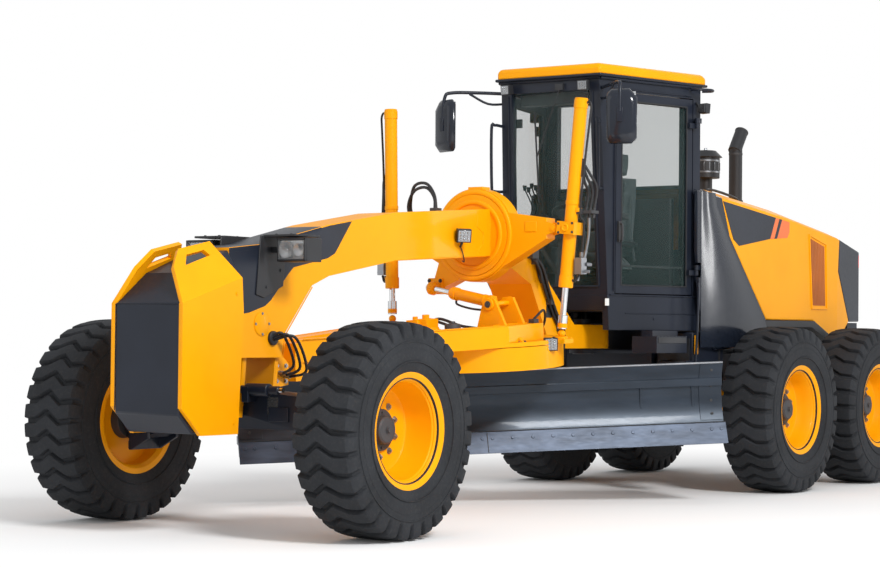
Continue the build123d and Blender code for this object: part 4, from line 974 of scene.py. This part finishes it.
# ---- front axle and push block
def make_axle():
    """Lean cylinder, plate and pin caps of the axle, and the kingpins' caps."""
    y, z = -3.665, 0.90
    parts = Kit(BOTH).bar((0.16, y, z), (0.34, y, z), 0.040, sides=28)
    parts.box((0.17, -3.66, 0.87), (0.05, 0.09, 0.10))
    parts.on(1).bar((-0.42, y, z), (0.42, y, z), 0.026, sides=24)
    parts.box((0.38, -3.62, 0.745), (0.16, 0.012, 0.09))
    parts.piece("lean_cylinder", FRONT, NAVY, 0.004)
    Kit(BOTH).bar((0.34, y, z), (0.45, y, z), 0.016).piece("lean_rod", FRONT, CHROME)
    Kit().box((0.33, -3.618, 0.80), (0.085, 0.003, 0.11)).piece("axle_plate", FRONT, LAMP)
    nuts = Kit()
    for end, way in ((-3.69, -1), (-3.31, 1)):
        nuts.lathe([(0, 0), (0, 0.062), (0.012, 0.058), (0.012, 0)], (0, end, 0.80), (0, way, 0), 32)
    nuts.piece("axle_pin_caps", FRONT, NAVY, 0.002)
    for name, side in SIDES:
        arm = Kit((side,)).bar((0.935, -3.5, 0.85), (0.935, -3.5, 0.862), 0.045, sides=28)
        arm.bolt_circle((0.935, -3.5, 0.862), UP, 0.030, 4, 0.007, 0.007)
        arm.piece(f"kingpin_cap_{name}", BODY_OF[f"lean_yoke_{name}"], NAVY, 0.0015)


def make_block():
    """Bolts, seams and foot of the push block."""
    Kit(BOTH).bolts([(0.292, -3.93, 1.50), (0.292, -3.95, 0.70)], OUT, 0.010, 0.006).piece("block_bolts",
                                                            FRONT, YELLOW)
    seams = Kit(BOTH).tube([(0.261, -4.4262, 0.775), (0.261, -4.4262, 1.430)], 0.003, 6, 1)
    seams.on(1).tube([(-0.255, -4.4255, 1.432), (0.255, -4.4255, 1.432)], 0.0035, 6, 1)
    seams.piece("block_seams", FRONT, NAVY)
    Kit().box((0, -4.00, 0.655), (0.10, 0.22, 0.03)).piece("block_foot", FRONT, NAVY, 0.004)


make_axle()
make_block()

# ---- hood
HOOD = BODY_OF["hood"]
HOOD_HALF = [(1.06, 0.785), (2.65, 0.780), (3.80, 0.730), (4.46, 0.640)]    # y, half width


def hood_side(y, z, proud=0.003):
    """A place on the hood's left side, standing proud of it."""
    return Vector((on_line(HOOD_HALF, y) + proud, y, z))


def hood_patch(name, paint, outlines, thick=0.003):
    """Flat patches on both sides of the hood, following how it narrows to the rear."""
    kit = Kit(BOTH)
    for outline in outlines:
        kit.loft([[hood_side(y, z, proud) for y, z in outline] for proud in (-0.002, thick)])
    kit.piece(name, HOOD, paint)


def make_hood():
    """Painted panels, bowed cowl, air inlets whose mesh and slats carry painted shade, a black arch trim
    that is partly painted shade under the hood, lamps, grille bars and grab rails.
    """
    hood_patch("hood_panel", NAVY, [
        [(1.52, 2.352), (2.466, 2.262), (2.365, 2.080), (1.80, 2.000), (1.70, 2.050), (1.655, 2.120)],
    ])
    hood_patch("hood_thin_stripe", NAVY, [[(2.535, 2.256), (2.585, 2.251), (2.492, 2.088), (2.440, 2.083)]])
    hood_patch("hood_stripes", ORANGE, [
        [(2.466, 2.262), (2.535, 2.256), (2.440, 2.083), (2.365, 2.080)],
        [(2.585, 2.251), (2.735, 2.236), (2.735, 2.150), (2.690, 2.100), (2.492, 2.088)],
    ], 0.0028)
    # cowl: the hood's glossy front panel, bowed outwards so that light runs down it
    rings = []
    lead, steps = 1.15, 16
    for z, rear in ((1.17, 2.40), (1.40, 2.275), (1.64, 2.04), (2.07, 1.60), (2.30, 1.415), (2.41, 1.385)):
        swell = 0.026 * min(1.0, (rear - lead) / 0.5)
        line = [(lead + (rear - lead) * k / steps, 0.002 + swell * math.sin(math.pi * k / steps) ** 1.3)
                for k in range(steps + 1)]
        outer = [hood_side(y, z, bow) for y, bow in line]
        rings.append(outer + [hood_side(y, z, -0.004) for y, _ in line[::-1]])
    Kit(BOTH).loft(rings).piece("hood_cowl", HOOD, GLOSS_NAVY, 0.0, 40)
    # louvred air inlet on each side; its mesh and slats are yellow paint darkened as painted shade, darker
    # than the yellow frame round them
    hood_patch("inlet_mesh_painted_shade", MESH, [[(3.185, 2.115), (3.495, 2.055), (3.520, 1.535), (3.250, 1.535)]],
               0.0025)
    ring = [hood_side(y, z) for y, z in ((3.160, 2.145), (3.530, 2.075), (3.555, 1.505), (3.225, 1.505))]
    Kit(BOTH).loop(ring, 0.008, 10).piece("inlet_frames", HOOD, YELLOW)
    slats = Kit(BOTH)
    for k in range(9):
        t = (k + 0.5) / 9
        slats.tube([hood_side(3.185 + 0.31 * t, 2.115 - 0.06 * t), hood_side(3.250 + 0.27 * t, 1.535)],
                   0.0035, 6, 1)
    slats.piece("inlet_slats_painted_shade", HOOD, MESH)
    # black plate under the hood over the middle tyres: partly the hood's black trim, partly painted shade
    # standing for the shadow beneath the hood
    Kit(BOTH).prism([(1.98, 1.30), (2.30, 1.398), (3.25, 1.398), (3.72, 1.22), (3.60, 1.20), (3.20, 1.34),
                     (2.34, 1.34)], "x", 0.60, 0.772).piece("arch_trim_and_painted_shade", HOOD, PLASTIC, 0.004)
    Kit(BOTH).box((0.617, 4.425, 1.955), (0.052, 0.060, 0.125)).piece("tail_lamps", HOOD, RED, 0.008)
    Kit().boxes(
        *(((0, 4.4555, 1.47 + 0.032 * k), (1.02, 0.007, 0.012)) for k in range(15)),
        *(((x, 4.4555, 1.694), (0.022, 0.008, 0.50)) for x in (-0.51, 0.0, 0.51)),
    ).piece("rear_grille_bars", BODY_OF["rear_grille"], PLASTIC, 0.0015)
    rail = [(0.52, 1.75, 2.405), (0.52, 1.77, 2.47), (0.52, 2.25, 2.42), (0.52, 2.27, 2.36)]
    Kit(BOTH).tube(rail, 0.011, 10, 4).piece("hood_grab_rails", HOOD, PLASTIC)


def band(inner, outer, width):
    """Profile of a flat ring to turn about an axis."""
    return [(0, inner), (0, outer), (width, outer), (width, inner)]


def make_stacks():
    """Bands of the exhaust stack and of the air pre-cleaner, with its fins and knob."""
    mouth = Vector((0, 0.110, 0.150)).normalized()
    stack = Kit().lathe(band(0.058, 0.066, 0.045), (0.2, 2.85, 2.40), UP, 36)
    stack.lathe(band(0.057, 0.0605, 0.02), (0.2, 2.85, 2.84), UP, 36)
    stack.lathe(band(0.050, 0.060, 0.012), Vector((0.2, 2.895, 2.965)) + mouth * 0.103, mouth, 36)
    stack.piece("exhaust_bands", BODY_OF["exhaust_stack"], IRON, 0.0015)
    x, y = -0.15, 2.95
    cleaner = Kit().bar((x, y, 2.89), (x, y, 2.925), 0.018, 0.012, 16)
    for z in (2.70, 2.80):
        cleaner.lathe(band(0.12, 0.128, 0.016), (x, y, z), UP)
    for k in range(16):
        a = 2 * math.pi * k / 16
        cleaner.box((x + 0.127 * math.cos(a), y + 0.127 * math.sin(a), 2.757), (0.006, 0.006, 0.07),
                    turned(22.5 * k, "Z"))
    cleaner.piece("precleaner_bands", BODY_OF["air_precleaner"], STEEL, 0.001)


make_hood()
make_stacks()


# ---- chassis, boxes, steps, tandems
def make_tandems():
    """Cover plates and bearing rings of the tandem cases, with their bolts."""
    plates, studs = Kit(BOTH), Kit(BOTH)
    outline = []
    for k in range(24):
        a = 2 * math.pi * k / 24
        y = 2.7 + math.copysign(0.42, math.cos(a)) + 0.11 * math.cos(a)
        outline.append((y, 0.67 + 0.11 * math.sin(a)))
    plates.prism(outline, "x", 0.826, 0.842)
    studs.bolts([(0.842, y, z) for y in (2.28, 2.5, 2.7, 2.9, 3.12) for z in (0.582, 0.758)], OUT, 0.009,
                0.009)
    studs.bolts([(0.83, 2.7, 0.50)], OUT, 0.018, 0.012)
    for y in (1.925, 3.475):
        plates.lathe([(0, 0.062), (0, 0.150), (0.020, 0.145), (0.020, 0.062)], (0.90, y, 0.67), OUT)
        studs.bolt_circle((0.835, y, 0.67), OUT, 0.135, 10, 0.009, 0.010)
    plates.piece("tandem_covers", BODY_OF["tandem_cases"], YELLOW, 0.002)
    studs.piece("tandem_bolts", BODY_OF["tandem_cases"], IRON)


def make_chassis():
    """Side box doors and fittings, step grips, ladder rails, drive shaft, tail bolts and hinge caps."""
    rear = BODY_OF["rear_frame"]
    Kit(BOTH).box((0.748, 1.36, 1.075), (0.010, 0.46, 0.36)).piece("side_box_doors", rear, NAVY, 0.004)
    fittings = Kit(BOTH).boxes(((0.757, 1.52, 1.10), (0.012, 0.022, 0.09)),
                               ((0.575, 1.097, 1.08), (0.28, 0.008, 0.32)))
    fittings.bolts([(0.753, y, z) for y in (1.155, 1.565) for z in (0.915, 1.235)], OUT, 0.009, 0.006)
    fittings.piece("side_box_fittings", rear, PLASTIC, 0.002)
    Kit().box((0.7545, 1.135, 1.19), (0.002, 0.06, 0.15)).piece("side_box_label", rear, YELLOW)
    Kit(BOTH).boxes(
        *(((0.64, 0.965 + 0.03 * k, z), (0.235, 0.006, 0.006))
          for z in (0.5745, 0.8145, 1.0545) for k in range(5)),
        *(((0.748, 0.53 + 0.055 * k, 1.2565), (0.010, 0.03, 0.003)) for k in range(9)),
        ((0.752, 0.75, 1.225), (0.006, 0.44, 0.045)),
    ).piece("step_grips", BODY_OF["steps"], IRON, 0.001)
    rail = [(0.768, 1.07, 1.00), (0.785, 1.075, 1.08), (0.797, 1.09, 1.60), (0.787, 1.105, 1.68)]
    Kit(BOTH).tube(rail, 0.011, 10, 5).piece("ladder_rails", rear, NAVY)
    shaft = Kit().bar((0, 1.75, 0.90), (0, 2.05, 0.86), 0.055, sides=28)
    shaft.lathe([(0, 0), (0, 0.20), (0.10, 0.20), (0.14, 0.12), (0.14, 0)], (0, 2.46, 0.67), FORE)
    shaft.piece("drive_shaft", rear, IRON, 0.004)
    spots = [(x, 4.452, z) for x in (-0.52, -0.26, 0.26, 0.52) for z in (1.32, 1.02)]
    Kit().bolts(spots, AFT, 0.014, 0.007).piece("tail_bolts", rear, IRON)
    knuckle = Kit()
    for z, way in ((1.38, 1), (1.115, -1)):
        knuckle.lathe([(0, 0), (0, 0.085), (0.008, 0.082), (0.008, 0)], (0, 0.65, z), (0, 0, way), 36)
    knuckle.piece("hinge_caps", rear, IRON, 0.0015)


make_tandems()
make_chassis()

# ---- cab
CAB = BODY_OF["cab_frame"]
WALL_TURN = turned(-14.59, "Z")


def wall(s, z, n):
    """A place by the cab's left wall: along it from the front corner, height, and out from it."""
    return Vector((0.45 + 0.25188 * s + 0.96776 * n, 0.12 + 0.96776 * s - 0.25188 * n, z))


def front(x, z, out=0.0):
    """A place ahead of the cab's leaning front wall."""
    return Vector((x, 0.12 + 0.06122 * (3.26 - z) - out, z))


def make_doors():
    """Seals and handles, inside and outside, of the cab's doors."""
    for name, side in SIDES:
        door = BODY_OF[f"cab_door_{name}"]
        seal = Kit((side,))
        for n in (-0.002, -0.038):
            corners = (0.252, 1.648), (0.978, 1.648), (0.978, 3.077), (0.252, 3.077)
            seal.loop([wall(s, z, n) for s, z in corners], 0.007)
        seal.piece(f"door_seal_{name}", door, PLASTIC)
        handle = Kit((side,)).box(wall(0.222, 2.06, 0.010), (0.022, 0.034, 0.16), WALL_TURN)
        grip = (1.99, 0.014), (2.00, 0.040), (2.11, 0.040), (2.12, 0.014)
        handle.tube([wall(0.222, z, n) for z, n in grip], 0.008, 10, 4)
        pull = (0.24, -0.045), (0.26, -0.085), (0.93, -0.085), (0.97, -0.045)
        handle.tube([wall(s, 1.80, n) for s, n in pull], 0.010, 10, 3)
        handle.piece(f"door_handle_{name}", door, IRON, 0.002)


def make_cab_outside():
    """Trims round the walls and roof, lamps, rails, wiper and seams."""
    trims = Kit(BOTH)
    trims.tube([wall(0.17, 1.60, 0.004), wall(0.17, 3.165, 0.004), wall(1.02, 3.165, 0.004)], 0.007, 8, 1)
    trims.tube([wall(0.0, 3.238, 0.012), wall(1.12, 3.238, 0.012)], 0.013, 10, 1)
    trims.tube([front(0.405, 1.64, 0.004), front(0.385, 3.13, 0.004)], 0.007, 8, 1)
    trims.on(1).tube([(-0.46, 0.112, 3.238), (0.46, 0.112, 3.238)], 0.013, 10, 1)
    trims.tube([front(-0.40, 1.635, 0.002), front(0.40, 1.635, 0.002)], 0.008, 8, 1)
    trims.piece("cab_trims", CAB, NAVY)
    roof = [(-0.484, 0.078), (0.484, 0.078), (0.776, 1.262), (-0.776, 1.262)]
    Kit().prism(roof, "z", 3.246, 3.268).piece("roof_edge", CAB, NAVY, 0.008)
    puck = [(0, 0), (0, 0.030), (0.008, 0.028), (0.012, 0.020), (0.012, 0)]
    Kit().lathe(puck, (0.36, 0.20, 3.334), UP, 24).piece("antenna", CAB, PLASTIC)
    for name, side in SIDES:
        for part, *spots in (("header", (0.352, 0.045, 3.175), (0.12, -1, -0.1), (0.352, 0.125, 3.215)),
                             ("rear", wall(1.10, 3.07, 0.075), (0.35, 1, -0.1), wall(1.08, 3.12, 0.0))):
            work_light(f"{part}_light_{name}", CAB, *flipped(spots, side), 0.085)
    rails = Kit(BOTH)
    rails.tube([front(0.445, 2.90, 0.006), (0.470, 0.060, 2.905), (0.487, 0.040, 2.87), (0.490, 0.055, 2.42),
                (0.480, 0.075, 2.385), front(0.449, 2.38, 0.004) + Vector((0, 0, 0.005))], 0.012, 12, 4)
    bend = (1.00, 0.02), (1.02, 0.09), (1.12, 0.125), (1.19, 0.07), (1.15, 0.0)
    rails.tube([wall(s, 3.215, n) for s, n in bend], 0.011, 12, 5)
    rails.piece("cab_rails", CAB, NAVY)
    wiper = Kit().tube([front(0.10, 3.17, 0.012), front(0.08, 3.10, 0.035), front(-0.12, 2.65, 0.022)],
                       0.006, 8, 3)
    wiper.tube([front(-0.14, 3.00, 0.010), front(-0.12, 2.30, 0.010)], 0.007, 8, 1)
    wiper.box(front(0.10, 3.18, 0.015), (0.07, 0.03, 0.05)).piece("front_wiper", CAB, PLASTIC)
    Kit().box(wall(0.10, 1.515, 0.0015), (0.003, 0.042, 0.055), WALL_TURN).piece("cab_label", CAB, LABEL)
    skirt = Kit(BOTH).tube([wall(0.13, 1.57, 0.002), wall(1.12, 1.57, 0.002)], 0.007, 8, 1)
    skirt.tube([wall(0.30, 1.43, 0.002), wall(1.12, 1.43, 0.002)], 0.004, 8, 1)
    skirt.bar(wall(0.62, 1.39, -0.002), wall(0.62, 1.39, 0.004), 0.012, sides=16)
    skirt.piece("cab_skirt_seams", CAB, NAVY)


def make_mirrors():
    """Rounded mirror heads turned outwards, their glass, and bent arms from the front corners."""
    yaw = turned(20, "Z")
    middle = Vector((0.805, -0.145, 2.90))
    outline = [(-0.095, -0.21), (0.075, -0.21), (0.116, -0.17), (0.118, 0.14), (0.06, 0.208), (-0.08, 0.208),
                      (-0.118, 0.17), (-0.118, -0.18)]
    Kit(BOTH).loft([
        [middle + yaw @ Vector((dx * grow, dy, dz * grow)) for dx, dz in outline]
        for dy, grow in ((-0.034, 0.66), (-0.022, 0.88), (0.002, 0.98), (0.026, 1.0))
    ]).piece("mirror_heads", CAB, GLOSS_NAVY, 0.014, 50, ("mirrors",))
    face = Kit(BOTH).box(middle + yaw @ Vector((0, 0.0265, 0)), (0.205, 0.002, 0.370), yaw)
    face.piece("mirror_faces", CAB, CHROME)
    arms = Kit(BOTH)
    arms.tube([(0.43, 0.175, 3.16), (0.60, 0.035, 3.165), (0.76, -0.115, 3.16), (0.800, -0.160, 3.12),
               (0.810, -0.178, 2.93)], 0.0135, 12, 5)
    arms.tube([(0.44, 0.17, 3.08), (0.55, 0.08, 3.08), (0.66, -0.02, 3.155)], 0.010, 10, 4)
    arms.box((0.81, -0.176, 2.91), (0.045, 0.022, 0.11), yaw).piece("mirror_arms", CAB, NAVY, 0.003)


make_doors()
make_cab_outside()
make_mirrors()


# ---- cab interior
SEAT = BODY_OF["seat"]
PAD_GRID = (28, 36)      # cells across and along a cushion


def cushion(name, centre, size, turn, rows):
    """A crowned pad with stitched seams pressed into it across its face."""
    nu, nv = PAD_GRID
    half = [s / 2 for s in size]
    tops, base = [], []
    for j in range(nv + 1):
        v = -1 + 2 * j / nv
        for i in range(nu + 1):
            u = -1 + 2 * i / nu
            edge = (1 - abs(u) ** 5) * (1 - abs(v) ** 5)
            seam = min([abs(v - r) for r in rows] + [1.0])
            press = 0.16 * math.exp(-(seam / 0.035) ** 2) + 0.14 * math.exp(-((abs(u) - 0.66) / 0.03) ** 2)
            height = edge ** 0.45 * (0.80 + 0.20 * (1 - u * u) - press)
            across, along = u * half[0], v * half[1]
            tops.append((across * (1 - 0.06 * v * v), along * (1 - 0.05 * u * u),
                         half[2] * (2 * height - 1)))
            base.append((across * 0.94, along * 0.94, -half[2] * 1.02))
    width, count = nu + 1, len(tops)
    faces = quads(nv + 1, width, False, False)
    rim_line = [*range(width), *(j * width + nu for j in range(1, nv + 1)),
                *(nv * width + i for i in range(nu - 1, -1, -1)), *(j * width for j in range(nv - 1, 0, -1))]
    sides = [(count + a, count + b, b, a) for a, b in zip(rim_line, rim_line[1:] + rim_line[:1])]
    kit = Kit(place=Matrix.Translation(centre) @ turn.to_4x4())
    kit.add(tops + base, faces + [tuple(count + i for i in face[::-1]) for face in faces] + sides)
    kit.piece(name, SEAT, FABRIC, 0.0, 60)


def make_seat():
    """Cushions, bellows, arm rests and belts."""
    upright = turned(82, "X")
    cushion("seat_cushion", (0, 0.79, 1.855), (0.49, 0.49, 0.13), FLAT, (-0.1, 0.45))
    cushion("seat_back", (0, 0.990, 2.22), (0.46, 0.66, 0.13), upright, (-0.35, 0.15, 0.6))
    cushion("head_rest", (0, 1.040, 2.645), (0.29, 0.18, 0.10), upright, ())
    base = Kit().boxes(((0, 0.80, 1.79), (0.42, 0.44, 0.03)), ((0, 1.045, 2.20), (0.40, 0.03, 0.55)))
    for k in range(7):
        grow = 0.024 * (k % 2)
        base.box((0, 0.80, 1.50 + 0.042 * k), (0.33 + grow, 0.35 + grow, 0.040))
    base.on(*BOTH).box((0.275, 0.80, 1.985), (0.075, 0.34, 0.045))
    base.bar((0.275, 0.98, 1.985), (0.262, 1.02, 1.93), 0.022, sides=16)
    base.piece("seat_base", SEAT, PLASTIC, 0.010, 35, ("seat",))
    belt = Kit().tube([(0.24, 0.98, 2.38), (0.27, 0.94, 2.25), (0.28, 0.92, 2.05), (0.29, 0.95, 1.85)],
                      0.010, 8, 5)
    belt.tube([(0.66, 1.10, 2.9), (0.655, 1.10, 2.3), (0.65, 1.09, 1.7)], 0.008, 8, 5)
    belt.piece("seat_belt", SEAT, FABRIC)


def make_controls():
    """Consoles, levers, dash, visor, pedals and floor mat."""
    consoles = Kit().boxes(((0, 1.115, 1.93), (1.08, 0.06, 0.86)), ((-0.47, 0.90, 1.62), (0.16, 0.45, 0.28)))
    consoles.on(*BOTH).box((0.37, 0.52, 2.19), (0.17, 0.12, 0.05))
    consoles.piece("control_consoles", SEAT, PLASTIC, 0.008)
    levers, knobs = Kit(BOTH), Kit(BOTH)
    for k in range(5):
        foot = Vector((0.315 + 0.027 * k, 0.52, 2.21))
        tip = foot + Vector((0.012 + 0.006 * k, -0.035 + 0.006 * (k % 2), 0.20 + 0.015 * (k % 3)))
        levers.tube([foot, foot + Vector((0, 0.02, 0.08)), tip], 0.0055, 8, 4)
        knobs.bar(tip - Vector((0, 0, 0.012)), tip + Vector((0, 0, 0.030)), 0.013, 0.017, 14)
    levers.tube([(0.37, 0.53, 2.18), (0.30, 0.50, 1.95), (0.10, 0.46, 1.72)], 0.018, 10, 4)
    levers.piece("control_levers", SEAT, IRON)
    knobs.piece("lever_knobs", SEAT, PLASTIC, 0.004)
    dash = Kit().boxes(((0, 0.24, 3.10), (0.62, 0.10, 0.09)), ((-0.40, 0.27, 2.93), (0.10, 0.02, 0.07)))
    dash.box((0, 0.445, 2.07), (0.20, 0.05, 0.13), turned(-20, "X"))
    dash.box((0.36, 0.36, 2.55), (0.15, 0.03, 0.11), turned(25, "Z"))
    dash.tube([(0.36, 0.37, 2.50), (0.385, 0.34, 2.42), (0.40, 0.30, 2.30)], 0.008, 8, 4)
    dash.piece("dash_and_visor", SEAT, PLASTIC, 0.006)
    pedals = Kit()
    for x in (-0.17, 0.14, 0.24):
        pedals.box((x, 0.40, 1.56), (0.07, 0.02, 0.11), turned(-35, "X"))
        pedals.bar((x, 0.40, 1.56), (x, 0.36, 1.48), 0.009, sides=10)
    pedals.piece("pedals", SEAT, IRON, 0.003)
    Kit().prism([(-0.42, 0.32), (0.42, 0.32), (0.60, 1.10), (-0.60, 1.10)], "z", 1.478, 1.486).piece(
        "floor_mat", SEAT, HOSE, 0.002)


make_seat()
make_controls()
